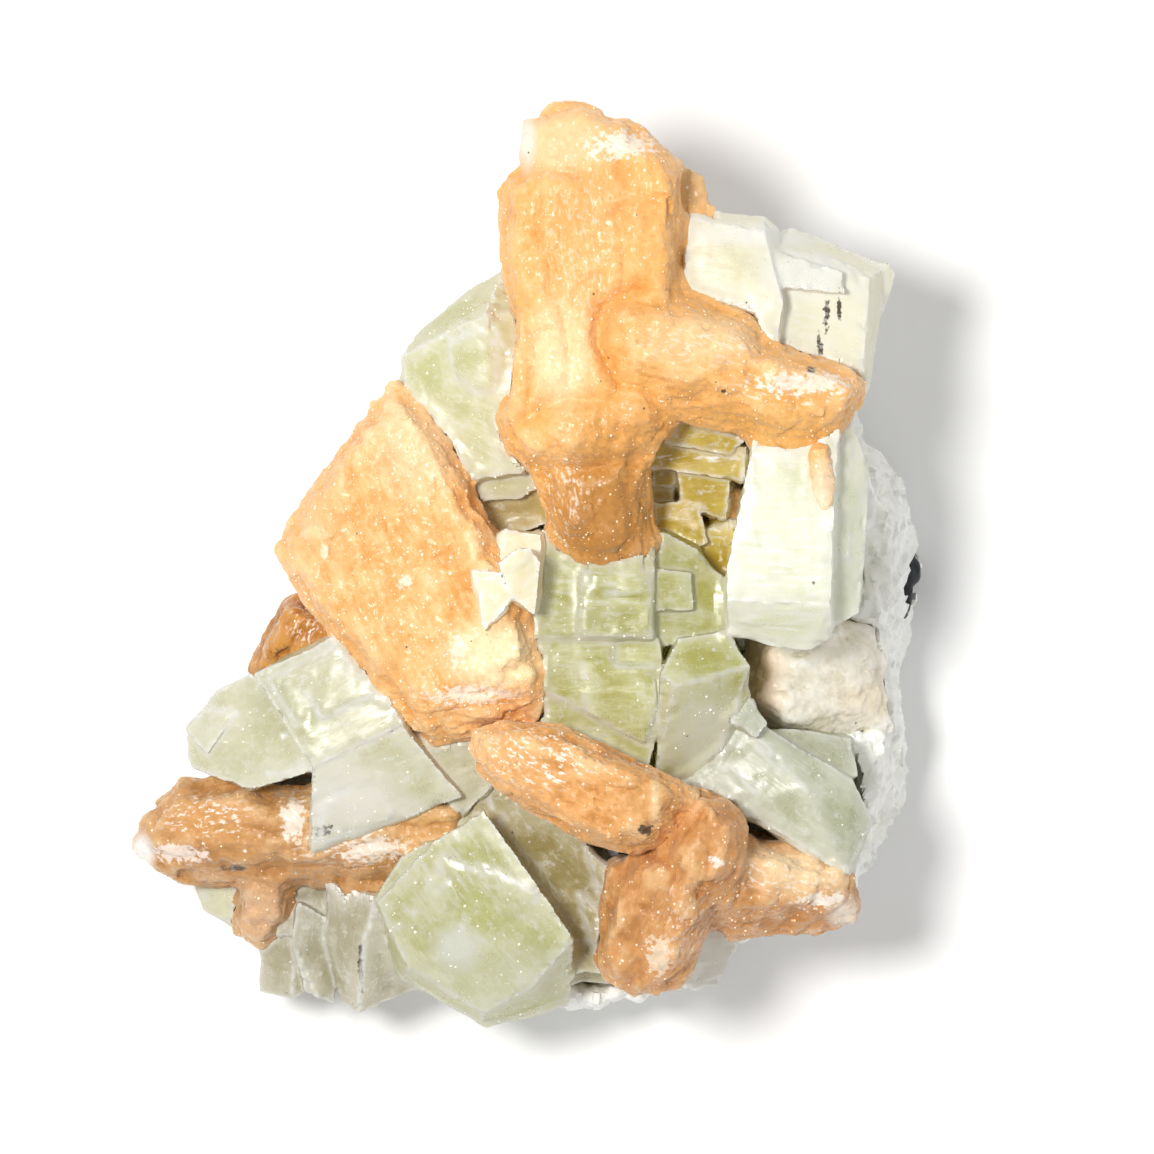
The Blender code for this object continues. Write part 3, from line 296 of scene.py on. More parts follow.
def sugar_grain():
    """White flecks, dark specks and tiny facets that catch the light, at a scale per metre."""
    group, given, put = new_group(
        "sugar grain",
        [("Place", "Vector", None), ("Fleck Scale", "Float", 1400.0), ("Flecks", "Float", 0.2),
         ("Specks", "Float", 0.01), ("Facet Scale", "Float", 2600.0), ("Sparkle", "Float", 0.35)],
        [("Fleck", "Float"), ("Speck", "Float"), ("Normal", "Vector"), ("Facet", "Float")])
    cells = add_node(
        group, "TexVoronoi", {"Vector": given["Place"], "Scale": given["Fleck Scale"]}, distance="MANHATTAN")
    draw = add_node(group, "SeparateColor", {0: cells.outputs["Color"]}).outputs
    width = calc(group, "MULTIPLY_ADD", draw[1], 0.30, 0.06)
    near = calc(group, "DIVIDE", cells.outputs["Distance"], width)
    dot = between(group, near, 1.15, 0.7)
    fleck = calc(group, "LESS_THAN", draw[0], given["Flecks"])
    speck = calc(group, "GREATER_THAN", draw[0], calc(group, "SUBTRACT", 1.0, given["Specks"]))
    group.links.new(calc(group, "MULTIPLY", dot, fleck), put["Fleck"])
    group.links.new(calc(group, "MULTIPLY", dot, speck), put["Speck"])
    facets = add_node(group, "TexVoronoi", {"Vector": given["Place"], "Scale": given["Facet Scale"]})
    tilt = add_node(
        group, "VectorMath", {0: facets.outputs["Color"], 1: (0.5, 0.5, 0.5)}, operation="SUBTRACT")
    lean = add_node(
        group, "VectorMath", {0: tilt.outputs[0], "Scale": given["Sparkle"]}, operation="SCALE")
    upright = add_node(group, "NewGeometry").outputs["Normal"]
    leaning = add_node(group, "VectorMath", {0: upright, 1: lean.outputs[0]}, operation="ADD")
    facing = add_node(group, "VectorMath", {0: leaning.outputs[0]}, operation="NORMALIZE")
    group.links.new(facing.outputs[0], put["Normal"])
    one = add_node(group, "SeparateColor", {0: facets.outputs["Color"]}).outputs[2]
    group.links.new(one, put["Facet"])
    return group


sugar_group = sugar_grain()


def measure(tree, name, output="Fac"):
    """A value that the piece keeps for each of its points."""
    return add_node(tree, "Attribute", attribute_name=name).outputs[output]


def painted(tree, where, colour):
    """Lays the piece's washes and stains over a colour, the stains with torn edges."""
    wash = add_node(tree, "Attribute", attribute_name="wash").outputs
    colour = tinted(tree, wash["Alpha"], colour, wash["Color"])
    stain = add_node(tree, "Attribute", attribute_name="stain").outputs
    tear = calc(tree, "SUBTRACT", cloudy(tree, where, TEAR_SCALE, 2.0, 0.6), 0.5)
    inside = calc(tree, "MULTIPLY_ADD", tear, TEAR_DEPTH, measure(tree, "stain_near"))
    mask = calc(tree, "MULTIPLY", between(tree, inside, 0.0, TEAR_EDGE), stain["Alpha"])
    return tinted(tree, mask, colour, stain["Color"])


def start_material(name):
    material = bpy.data.materials.new(name)
    material.use_nodes = True
    tree = material.node_tree
    where = add_node(tree, "TexCoord").outputs["Object"]
    return material, tree, where, tree.nodes["Principled BSDF"]


def grained(tree, where, **values):
    """The sugar grain, placed in a material with its own values."""
    made = add_node(tree, "Group", node_tree=sugar_group)
    tree.links.new(where, made.inputs["Place"])
    for name, value in values.items():
        made.inputs[name.replace("_", " ")].default_value = value
    return made.outputs


def put_on(tree, shader, colour, roughness, relief):
    """Joins a finish's colour, roughness and relief to its shader."""
    tree.links.new(colour, shader.inputs["Base Color"])
    tree.links.new(roughness, shader.inputs["Roughness"])
    tree.links.new(add_node(tree, "Bump", relief).outputs[0], shader.inputs["Normal"])


def rock_finish():
    material, tree, where, shader = start_material("white quartz and chalcedony")
    mottle = cloudy(tree, where, ROCK_MOTTLE_SCALE, 4.0, 0.62)
    colour = tinted(tree, between(tree, mottle, 0.36, 0.62), (0.93, 0.93, 0.86, 1), (0.99, 0.99, 0.96, 1))
    # Painted shade: the rock is greyer where its surface lies in a hollow.
    painted_hollow_shade = between(tree, measure(tree, "bulge"), 0.0, -0.6, 0.0, 0.7)
    colour = tinted(tree, painted_hollow_shade, colour, (0.84, 0.82, 0.70, 1))
    grain = grained(tree, where, Flecks=0.4, Specks=0.01, Sparkle=0.5, Facet_Scale=1700.0)
    colour = tinted(tree, calc(tree, "MULTIPLY", grain["Fleck"], 0.5), colour, (0.95, 0.96, 0.93, 1))
    colour = painted(tree, where, colour)
    colour = tinted(tree, grain["Speck"], colour, (0.25, 0.21, 0.15, 1))
    fine = cloudy(tree, where, ROCK_FINE_SCALE, 2.0, 0.6)
    put_on(tree, shader, colour, between(tree, mottle, 0.3, 0.7, 0.36, 0.66),
           {"Height": fine, "Strength": 0.3, "Distance": 0.0002, "Normal": grain["Normal"]})
    return material


def rock_height(place):
    lumps = noise.noise(place / ROCK_LUMP_SIZES[0]) + 0.5 * noise.noise(place / ROCK_LUMP_SIZES[1])
    above_cut = min(1.0, max(0.0, place.z / ROCK_SAWN))
    return above_cut * (ROCK_LUMPS * lumps + ROCK_SUGAR * broken(place, ROCK_CRYSTAL))


rock = copy_of("matrix", "rock")
joined(rock, [blob((x, y, SCALLOP_LEVEL), (r, r, SCALLOP_DEPTH)) for x, y, r in SCALLOPS])
even_skin(rock, ROCK_SKIN)
moved_out(rock, [rock_height(Vector(place) / MM) for place in corners_of(rock)])
rock_places = corners_of(rock)
rock_places[rock_places[:, 2] < SAWN_LEVEL * MM, 2] = 0.0
put_corners(rock, rock_places)
choose(rock)
bpy.ops.object.shade_smooth_by_angle(angle=ROCK_SMOOTH)
keep_bulge(rock)
paint(rock, [
    # The first two washes grey the rock in hollows along its right side: painted shade. The third whitens the
    # porcelain rim.
    ((36.0, -0.5, 17), (3.0, 3.0, 6), (0.74, 0.71, 0.60, 0.45)),
    ((34.8, -22.0, 17), (2.4, 5.4, 7), (0.94, 0.93, 0.86, 0.4)),
    ((38.2, -4.0, 14), (1.5, 20.0, 6), (0.96, 0.98, 0.95, 0.9)),
])
rock.data.materials.append(rock_finish())
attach(rock, "root")
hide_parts("matrix")


# A last flake of the black lava that the hollow was in. It is grown to the rock's right edge,
# where the wall broke away, and it is dull, fine-grained and splintery.

LAVA_SKIN = 0.25
LAVA_LUMPS = ((0.25, 1.2), (0.12, 0.5))
LAVA_SMOOTH = math.radians(25.0)
LAVA_MOTTLE_SCALE = 900.0


def lava_finish():
    material, tree, where, shader = start_material("black lava")
    grey = cloudy(tree, where, LAVA_MOTTLE_SCALE, 6.0, 0.6)
    colour = tinted(tree, between(tree, grey, 0.4, 0.65), (0.012, 0.014, 0.017, 1), (0.06, 0.065, 0.07, 1))
    put_on(tree, shader, colour, between(tree, grey, 0.3, 0.7, 0.45, 0.8),
           {"Height": grey, "Strength": 0.6, "Distance": 0.0003})
    return material


def lava_height(place):
    return sum(height * noise.noise(place / size) for height, size in LAVA_LUMPS)


flake = copy_of("basalt_remnant", "lava_flake")
even_skin(flake, LAVA_SKIN)
moved_out(flake, [lava_height(Vector(place) / MM) for place in corners_of(flake)])
bpy.ops.object.shade_smooth_by_angle(angle=LAVA_SMOOTH)
flake.data.materials.append(lava_finish())
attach(flake, "root")
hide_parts("basalt_remnant")


# Stilbite: sheaves of thin peach blades, grown side by side into plates, bars and bow-ties.
# Their pearly faces are ribbed along the blades, broken into steps, and dusted with white grains.

STILBITE_SKIN = 0.33
STILBITE_SWELL = 0.14
RIB_WIDTH = 1.1
RIB_LENGTH = 8.0
RIB_HEIGHT = 0.16
FACE_SIZE = 3.6
FACE_TILT = 0.20
CHIP_SIZE = 1.25
CHIP_TILT = 0.22
CHIP_STRETCH = 0.45
GRAIN_SIZE = 0.6
GRAIN_TILT = 0.28
WANDER_SIZE = 2.2
WANDER = 0.5
BLADE_SOFTENING = 0.4
BLADE_SMOOTH = math.radians(38.0)
FIBRE_STRETCH = 0.14
FIBRE_SCALE = 1500.0
BLADE_MOTTLE_SCALE = 330.0
# Painted glints: white streaks painted where the blades glitter in the light.
PAINTED_GLINT_STRETCH = 0.4
PAINTED_GLINT_SCALE = 2600.0
PAINTED_GLINT_WHITE = (0.98, 0.93, 0.84, 1)
SHEEN_TINT = (1.0, 0.86, 0.66, 1.0)


def along_blade(place, arms):
    """The place as (along, across, up) the blade that it lies on: arms are (direction, test) pairs."""
    for direction, inside in arms:
        if inside(place):
            break
    x, y = direction
    length = math.hypot(x, y)
    return Vector(((place.x * x + place.y * y) / length, (place.y * x - place.x * y) / length, place.z))


def everywhere(place):
    return True


def stilbite_height(place, lie, roughness):
    """Ribs along the blade, and broken faces of three sizes."""
    wander = noise.noise_vector(place / WANDER_SIZE) * WANDER
    rib = noise.noise(Vector((lie.x / RIB_LENGTH, lie.y / RIB_WIDTH, lie.z / RIB_WIDTH)) + wander)
    drawn = Vector((lie.x * CHIP_STRETCH, lie.y, lie.z))
    height = STILBITE_SWELL + RIB_HEIGHT * (1.0 - 2.0 * abs(rib))
    height += FACE_TILT * broken(place + wander, FACE_SIZE)
    height += CHIP_TILT * broken(drawn, CHIP_SIZE)
    return height + GRAIN_TILT * roughness * broken(place, GRAIN_SIZE)


def drawn_out(tree, where, share):
    """The same place with a pattern's first direction stretched."""
    return add_node(tree, "Mapping", {"Vector": where, "Scale": (share, 1.0, 1.0)}).outputs[0]


def stilbite_finish(name, crest, body, groove, flecks=0.16, sparkle=0.4, gloss=0.44):
    """Pearly and fibrous, light on its ribs and darker between them, with grains. Painted light also makes it
    lighter where it stands out and darker in its hollows, and paints glints on glittering patches.
    """
    material, tree, where, shader = start_material(name)
    blade = measure(tree, "blade", "Vector")
    mottle = cloudy(tree, where, BLADE_MOTTLE_SCALE, 4.0, 0.6)
    fibres = cloudy(tree, drawn_out(tree, blade, FIBRE_STRETCH), FIBRE_SCALE, 2.0, 0.6)
    tone_with_painted_light = calc(tree, "MULTIPLY_ADD", fibres, 0.34, calc(tree, "MULTIPLY", mottle, 0.66))
    # Painted light and shade: lighter where the surface stands out, as light through thin blades, and darker
    # in its hollows.
    tone_with_painted_light = calc(tree, "ADD", tone_with_painted_light, between(tree, measure(tree, "bulge"), -0.3, 0.9, -0.11, 0.20))
    colour = tinted(tree, between(tree, tone_with_painted_light, 0.34, 0.52), groove, body)
    colour = tinted(tree, between(tree, tone_with_painted_light, 0.50, 0.74), colour, crest)
    colour = painted(tree, where, colour)
    grain = grained(tree, where, Flecks=flecks, Sparkle=sparkle)
    # Painted glints: white streaks painted on the glittering patches, and white flecks of grain that also
    # stand in for sparkles, partly painted glints.
    painted_glint_streaks = cloudy(tree, drawn_out(tree, blade, PAINTED_GLINT_STRETCH), PAINTED_GLINT_SCALE, 2.0, 0.6)
    painted_glint = calc(tree, "MULTIPLY", measure(tree, "painted_glint"), between(tree, painted_glint_streaks, 0.53, 0.66, 0.0, 0.85))
    white_marks_and_painted_light = calc(tree, "MAXIMUM", calc(tree, "MULTIPLY", grain["Fleck"], 0.75), painted_glint)
    colour = tinted(tree, white_marks_and_painted_light, colour, PAINTED_GLINT_WHITE)
    colour = tinted(tree, grain["Speck"], colour, (0.20, 0.12, 0.05, 1))
    put_on(tree, shader, colour, between(tree, grain["Facet"], 0.0, 1.0, gloss - 0.14, gloss + 0.16),
           {"Height": fibres, "Strength": 0.35, "Distance": 0.0002, "Normal": grain["Normal"]})
    shader.inputs["Sheen Weight"].default_value = 0.35
    shader.inputs["Sheen Roughness"].default_value = 0.45
    shader.inputs["Sheen Tint"].default_value = SHEEN_TINT
    return material


def creased(piece, creases):
    """Lowers the top along lines where two sheaves meet: each by its points, its width and depth."""
    places = corners_of(piece)
    upward = np.clip(normals_of(piece)[:, 2] * 2.0, 0.0, 1.0)
    depths = np.zeros(len(places))
    for points, width, depth in creases:
        away = np.full(len(places), 1000.0)
        for one, two in zip(points, points[1:]):
            start = np.array(one)
            along = np.array(two) - start
            flat = places[:, :2] / MM - start
            share = np.clip(flat @ along / (along @ along), 0.0, 1.0)
            away = np.minimum(away, np.linalg.norm(flat - share[:, None] * along, axis=1))
        depths = np.maximum(depths, depth * np.exp(-(away / width) ** 2))
    places[:, 2] -= depths * upward * MM
    put_corners(piece, places)


def grow_stilbite(node, name, arms, material, washes=(), stains=(), painted_glints=(),
                  extra=(), roughness=1.0, creases=()):
    piece = copy_of(node, name)
    joined(piece, extra)
    even_skin(piece, STILBITE_SKIN)
    creased(piece, creases)
    places = [Vector(place) / MM for place in corners_of(piece)]
    lies = [along_blade(place, arms) for place in places]
    heights = [stilbite_height(place, lie, roughness) for place, lie in zip(places, lies)]
    moved_out(piece, np.array(heights) + touching(piece, node))
    in_edit_mode(piece, bpy.ops.mesh.vertices_smooth, factor=BLADE_SOFTENING, repeat=1)
    bpy.ops.object.shade_smooth_by_angle(angle=BLADE_SMOOTH)
    store(piece, "blade", "FLOAT_VECTOR", np.array(lies) * MM)
    keep_bulge(piece)
    paint(piece, washes, stains, painted_glints)
    piece.data.materials.append(material)
    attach(piece, "root")
    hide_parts(node)
    return piece


CREAM = (0.92, 0.55, 0.24, 1)
PEACH = (0.87, 0.45, 0.14, 1)
AMBER = (0.77, 0.37, 0.09, 1)
WHITE_PATCH = (0.97, 0.92, 0.84, 0.65)
STAIN = (0.06, 0.035, 0.02, 0.97)

# The large cross at the top: a tall blade, a bar to the right, and a stub that points down
cross_arms = [
    ((1.0, -0.25), lambda place: place.x > 8.0 and 9.0 < place.y < 27.5),
    ((0.28, -1.0), lambda place: place.y < 11.0),
    ((-0.12, 1.0), everywhere),
]
cross_washes = [
    ((3.0, 42.0, 40), (5.0, 3.4, 6), (0.95, 0.68, 0.40, 0.6)),
    ((-0.2, 42.4, 38), (0.9, 2.8, 5), (0.80, 0.79, 0.70, 0.85)),
    ((10.0, 36.5, 42), (4.2, 3.4, 6), (0.92, 0.46, 0.13, 0.5)),
    ((9.0, 29.5, 42), (3.6, 4.0, 6), (0.90, 0.45, 0.13, 0.5)),
    ((7.0, 35.6, 42), (4.4, 4.0, 6), (0.82, 0.37, 0.11, 0.7)),
    ((3.2, 21.5, 42), (3.0, 6.0, 6), (0.97, 0.77, 0.46, 0.75)),
    ((5.4, 30.0, 42), (5.0, 7.6, 6), (0.89, 0.46, 0.16, 0.55)),
    ((16.6, 37.8, 34), (1.4, 3.0, 6), (0.62, 0.42, 0.20, 0.7)),
    ((17.0, 22.4, 42), (6.0, 2.6, 6), (0.96, 0.72, 0.42, 0.5)),
    # Painted shade: darker along the right bar's lower face, which faces away from the light.
    ((24.0, 13.2, 38), (8.0, 2.4, 6), (0.80, 0.42, 0.11, 0.6)),
    ((29.2, 7.6, 37.6), (1.4, 3.0, 2), (0.96, 0.80, 0.60, 0.85)),
    ((8.6, 13.4, 40), (5.6, 3.4, 6), (0.68, 0.31, 0.07, 0.55)),
    ((7.4, 4.4, 38), (5.4, 7.0, 8), (0.40, 0.16, 0.02, 0.8)),
]
cross_stains = [
    ((9.4, 41.8, 40), (3.8, 1.7, 6), WHITE_PATCH),
    ((27.0, 18.2, 40), (5.8, 1.2, 5), WHITE_PATCH),
    ((28.0, 19.5, 40), (0.55, 0.5, 4), STAIN),
    ((19.3, 17.4, 40), (0.35, 0.35, 4), STAIN),
]
# Painted glints: patches where the colour is whitened to stand in for glitter.
cross_painted_glints = [
    ((3.4, 6.8, 38), (2.0, 5.4, 8), 0.6),
    ((17.0, 21.6, 42), (6.0, 2.2, 6), 0.45),
    ((27.0, 17.6, 40), (6.0, 1.8, 6), 0.9),
    ((5.0, 31.0, 42), (4.0, 9.0, 6), 0.3),
]
cross_creases = [
    ([(11.1, 27.6), (7.4, 25.6), (6.8, 22.1), (8.8, 18.2)], 1.0, 1.5),
    ([(-2.6, 13.4), (3.1, 16.4), (8.4, 16.6), (9.2, 18.0)], 1.1, 0.9),
    ([(-2.6, 38.0), (1.1, 39.4), (5.2, 38.8)], 0.6, 0.7),
    ([(0.4, 10.2), (5.6, 9.6), (11.4, 10.8)], 0.9, 1.0),
    ([(1.0, 33.0), (3.2, 26.0), (4.0, 21.0)], 0.7, 0.6),
]
drip = blob((29.2, 8.6, 37.6), (0.5, 3.4, 0.7), turn=0.12)
sheaf_top_cross = grow_stilbite(
    "stilbite_top_cross", "cross_of_blades", cross_arms,
    stilbite_finish("stilbite of the cross", CREAM, PEACH, AMBER),
    cross_washes, cross_stains, cross_painted_glints, extra=[drip], creases=cross_creases)

# The broad plate on the left, coarse and sugary, with a fibrous band along its lower edge
plate_arms = [
    ((1.0, 0.12), lambda place: place.y < -12.4),
    ((-0.5, 1.0), everywhere),
]
plate_washes = [
    ((-20.5, 4.0, 32), (3.0, 8.0, 5), (0.80, 0.50, 0.24, 0.5)),
    ((-11.0, 12.0, 36), (4.4, 5.0, 5), (0.95, 0.73, 0.46, 0.5)),
    ((-3.6, -8.8, 38), (4.6, 3.2, 6), (0.97, 0.80, 0.50, 0.8)),
    ((-14.6, -7.4, 36), (3.0, 5.0, 6), (0.82, 0.46, 0.17, 0.5)),
]
plate_stains = [
    ((-5.4, -12.8, 38), (5.4, 1.0, 5), (0.95, 0.82, 0.68, 0.8)),
    ((-12.2, -1.6, 37), (0.9, 0.8, 4), (0.97, 0.88, 0.74, 0.6)),
    ((-20.4, 1.6, 35), (0.5, 0.9, 4), (0.97, 0.86, 0.70, 0.5)),
    ((-7.0, -8.2, 38), (0.9, 1.4, 4), (0.97, 0.88, 0.74, 0.5)),
]
sheaf_left_plate = grow_stilbite(
    "stilbite_left_plate", "left_plate_of_blades", plate_arms,
    stilbite_finish("stilbite of the plate", (0.95, 0.66, 0.35, 1), (0.88, 0.48, 0.18, 1),
                    (0.76, 0.35, 0.09, 1), flecks=0.24),
    plate_washes, plate_stains, [((-5.0, -13.4, 38), (6.0, 1.8, 6), 0.8)], roughness=1.5)

# A small clear blade behind it, the colour of dark honey
grow_stilbite(
    "stilbite_small_left", "honey_blade", [((0.45, 1.0), everywhere)],
    stilbite_finish("honey stilbite", (0.60, 0.28, 0.06, 1), (0.42, 0.16, 0.025, 1), (0.28, 0.09, 0.012, 1),
                    flecks=0.06, gloss=0.30),
    [((-21.4, -7.0, 26), (1.2, 2.2, 4), (0.42, 0.18, 0.035, 0.6))],
    painted_glints=[((-22.6, -5.6, 28), (1.4, 2.6, 6), 0.8)], roughness=0.6)

# The bar below the middle, glittering on its left half and smooth on its right
bar_washes = [
    ((12.0, -22.6, 42), (3.8, 3.2, 4), (0.66, 0.34, 0.11, 0.75)),
    ((12.6, -23.4, 42), (0.5, 3.2, 3), (0.95, 0.70, 0.40, 0.6)),
    # Painted shade: darker along the bar's lower side, which faces away from the light.
    ((6.0, -27.0, 38), (8.0, 1.6, 4), (0.62, 0.32, 0.10, 0.6)),
    ((-1.4, -20.4, 40), (4.4, 3.4, 4), (0.76, 0.42, 0.16, 0.5)),
]
sheaf_lower_bar = grow_stilbite(
    "stilbite_lower_bar", "lower_bar_of_blades", [((1.0, -0.5), everywhere)],
    stilbite_finish("stilbite of the bar", (0.88, 0.56, 0.27, 1), (0.76, 0.37, 0.12, 1),
                    (0.58, 0.24, 0.05, 1), sparkle=0.6),
    bar_washes, [((11.6, -26.2, 41), (0.9, 0.7, 3), STAIN)], [((1.4, -18.8, 41), (6.0, 3.2, 6), 1.0)])

# The bow-tie at the lower right: two sheaves that cross in a knot
tie_arms = [
    ((1.0, -0.3), lambda place: place.x > 21.0),
    ((0.35, 1.0), everywhere),
]
tie_washes = [
    # Painted light: lighter on the right arm, where it lies in shade.
    ((27.5, -30.0, 33), (5.6, 3.0, 5), (0.97, 0.72, 0.42, 0.8)),
    ((31.6, -35.0, 28), (1.6, 1.8, 4), (0.86, 0.82, 0.72, 0.7)),
    ((14.4, -31.6, 38), (2.6, 3.4, 5), (0.66, 0.34, 0.12, 0.4)),
]
tie_stains = [
    ((18.6, -29.4, 40), (0.8, 0.7, 3), WHITE_PATCH),
    ((29.6, -33.4, 31), (3.2, 0.9, 4), (0.94, 0.86, 0.76, 0.85)),
    ((13.0, -39.0, 35), (1.4, 2.6, 4), (0.92, 0.76, 0.58, 0.7)),
]
sheaf_bow_tie = grow_stilbite(
    "stilbite_bow_tie", "bow_tie_of_blades", tie_arms,
    stilbite_finish("stilbite of the bow-tie", (0.74, 0.44, 0.20, 1), (0.60, 0.28, 0.09, 1),
                    (0.45, 0.19, 0.05, 1)),
    tie_washes, tie_stains,
    [((26.0, -31.0, 33), (6.0, 2.6, 6), 0.6), ((15.0, -36.0, 36), (3.0, 5.0, 6), 0.35)])

# The long low sheaf at the lower left, pinkish brown and fibrous, with a clear white tip
sheaf_arms = [
    ((0.1, -1.0), lambda place: place.y < -32.6),
    ((1.0, 0.12), everywhere),
]
sheaf_washes = [
    ((-39.0, -28.8, 20), (1.3, 1.8, 5), (0.86, 0.85, 0.82, 0.95)),
    ((-31.5, -25.6, 25), (5.0, 2.2, 4), (0.68, 0.33, 0.10, 0.6)),
    ((-10.0, -27.0, 28), (4.0, 2.8, 4), (0.76, 0.44, 0.16, 0.5)),
    ((-26.8, -35.0, 20), (2.4, 3.4, 4), (0.74, 0.48, 0.29, 0.6)),
]
sheaf_stains = [
    ((-35.4, -28.9, 23), (3.6, 1.1, 4), (0.92, 0.80, 0.72, 0.75)),
    ((-23.6, -25.0, 27), (1.3, 3.0, 4), (0.93, 0.82, 0.72, 0.8)),
    ((-15.8, -28.4, 27), (3.6, 1.5, 4), (0.93, 0.82, 0.72, 0.75)),
    ((-29.7, -30.4, 23), (1.2, 0.4, 4), STAIN),
]
sheaf_lower_left = grow_stilbite(
    "stilbite_lower_left", "pink_sheaf", sheaf_arms,
    stilbite_finish("pinkish stilbite", (0.68, 0.42, 0.20, 1), (0.55, 0.28, 0.10, 1), (0.42, 0.19, 0.05, 1),
                    sparkle=0.5),
    sheaf_washes, sheaf_stains,
    [((-32.4, -25.2, 25), (4.4, 2.2, 6), 0.9), ((-17.0, -28.4, 27), (6.0, 2.0, 6), 0.7)])

# A narrow dark blade that stands in the olive hollow
grow_stilbite(
    "stilbite_pocket_blade", "hollow_blade", [((0.0, 1.0), everywhere)],
    stilbite_finish("dark stilbite", (0.80, 0.44, 0.16, 1), (0.62, 0.29, 0.08, 1), (0.44, 0.18, 0.04, 1),
                    flecks=0.05, gloss=0.30), roughness=0.6)

# The pale fan on the right, peach at its left edge and fading to white
fan_washes = [
    ((23.2, -10.8, 24), (2.2, 5.4, 6), (0.92, 0.66, 0.46, 0.75)),
    ((34.0, -13.6, 19), (3.4, 2.0, 5), (0.90, 0.76, 0.55, 0.5)),
]
grow_stilbite(
    "stilbite_pale_fan", "pale_fan", [((1.0, -0.35), everywhere)],
    stilbite_finish("pale stilbite", (0.93, 0.90, 0.82, 1), (0.86, 0.81, 0.68, 1), (0.74, 0.67, 0.52, 1),
                    flecks=0.1, sparkle=0.3), fan_washes, roughness=0.7)


# Apophyllite: blocky pale green crystals, square prisms with flat ends in parallel growth.
# Each is clear in depth and milky in veils. Its faces have low growth terraces, a few carry thin
# plates, its edges are chipped and frosted, and the joints between blocks are filled by later growth.
# Their colour also holds painted light: lighter at edges, bulges and joints, with painted glints.

PLATE_ROOT = 0.5
PLATE_SIDES = (1.2, 6.0)
PLATE_RISES = (0.04, 0.12)
PLATE_SHARE = 0.55
PLATE_SPREAD = 0.8
PLATE_LEAST_FACE = 6.0
PLATE_LOWEST_FACING = -0.2
FILL_LEAN = (0.09, -0.07)
CRYSTAL_SKIN = 0.33
SKIN_DEPTH = 7
SKIN_WIDEST = 0.99
SHARP_ANGLE = math.radians(28.0)
EDGE_REACH = 5.0
JOINT_REACH = 0.6
JOINT_ROUNDS = 5
CRYSTAL_SWELL = 0.06
CRYSTAL_SOFTENING = 0.5
CRYSTAL_SMOOTH = math.radians(20.0)
TERRACE = 0.07
TERRACE_STEPS = (4.6, 3.1, 3.6)
FINE_TERRACE = 0.02
FINE_STEPS = (1.9, 1.1, 1.7)
TERRACE_WANDER_SIZE = 3.0
TERRACE_WANDER = 0.12
RIPPLE = 0.03
RIPPLE_SIZE = 2.2
WAVE = 0.10
WAVE_SIZE = 6.0
CHIP = 0.8
CHIP_NOISE_SIZE = 0.9
CHIP_REACH = 0.9
CHIP_SPARED = 0.04
FLAT_ENOUGH = math.radians(1.5)
STREAK_STRETCH = 0.22
STREAK_SCALE = 1700.0
VEIL_SCALE = 260.0
CRACK_SCALE = 620.0
FROST_SCALE = 850.0
ZONE_SCALE = 190.0
GROWTH_BANDS = 0.75
FROST_WHITE = (0.98, 0.98, 0.92, 1)
CRYSTAL_IOR = 1.535


def face_frames(piece):
    """The large faces that look up or out, each as (area, corners, direction along it, its normal)."""
    frames = []
    for face in piece.data.polygons:
        if face.area < PLATE_LEAST_FACE * MM * MM or face.normal.z < PLATE_LOWEST_FACING:
            continue
        corners = [piece.data.vertices[number].co.copy() for number in face.vertices]
        sides = [(corners[number] - corners[number - 1]) for number in range(len(corners))]
        along = max(sides, key=lambda side: side.length).normalized()
        frames.append((face.area, corners, along, face.normal.copy()))
    return frames


def spot_in(corners, dice):
    """A place inside a face, somewhere between its middle and one of its corners."""
    middle = sum(corners, Vector()) / len(corners)
    first = dice.randrange(len(corners))
    share = dice.random()
    edge_point = corners[first].lerp(corners[first - 1], share)
    return middle.lerp(edge_point, math.sqrt(dice.random()) * PLATE_SPREAD)


def grow_block(piece, place, turn, size):
    """A square block grown into the crystal: place in metres, turn as a matrix, size in millimetres."""
    bpy.ops.object.select_all(action="DESELECT")
    bpy.ops.mesh.primitive_cube_add(size=1.0)
    block = bpy.context.object
    stretch = Matrix.Diagonal((size[0] * MM, size[1] * MM, size[2] * MM, 1.0))
    block.data.transform(Matrix.Translation(place) @ turn @ stretch)
    union = piece.modifiers.new("block", "BOOLEAN")
    union.operation = "UNION"
    union.solver = "MANIFOLD"
    union.object = block
    settle(piece)
    bpy.data.objects.remove(block, do_unlink=True)


def grow_plates(piece, count, seed):
    """Thin plates on the faces, all square to the crystal, each grown into it."""
    dice = random.Random(seed)
    frames = face_frames(piece)
    areas = [entry[0] for entry in frames]
    least, most = PLATE_SIDES
    for number in range(count):
        area, corners, along, normal = dice.choices(frames, areas)[0]
        widest = max(min(most, PLATE_SHARE * math.sqrt(area) / MM), least + 0.1)
        sides = [dice.uniform(least, widest) for side in range(2)]
        place = spot_in(corners, dice)
        rise = dice.uniform(*PLATE_RISES)
        across = normal.cross(along).normalized()
        turn = Matrix((along, across, normal)).transposed().to_4x4()
        middle = place + normal * (rise - PLATE_ROOT) * 0.5 * MM
        grow_block(piece, middle, turn, sides + [PLATE_ROOT + rise])


def filled(piece, blocks):
    """Further crystals of the same growth between the large ones: place, size and turn of each."""
    for place, size, turn in blocks:
        grow_block(piece, Vector(place) * MM, Euler((*FILL_LEAN, turn)).to_matrix().to_4x4(), size)


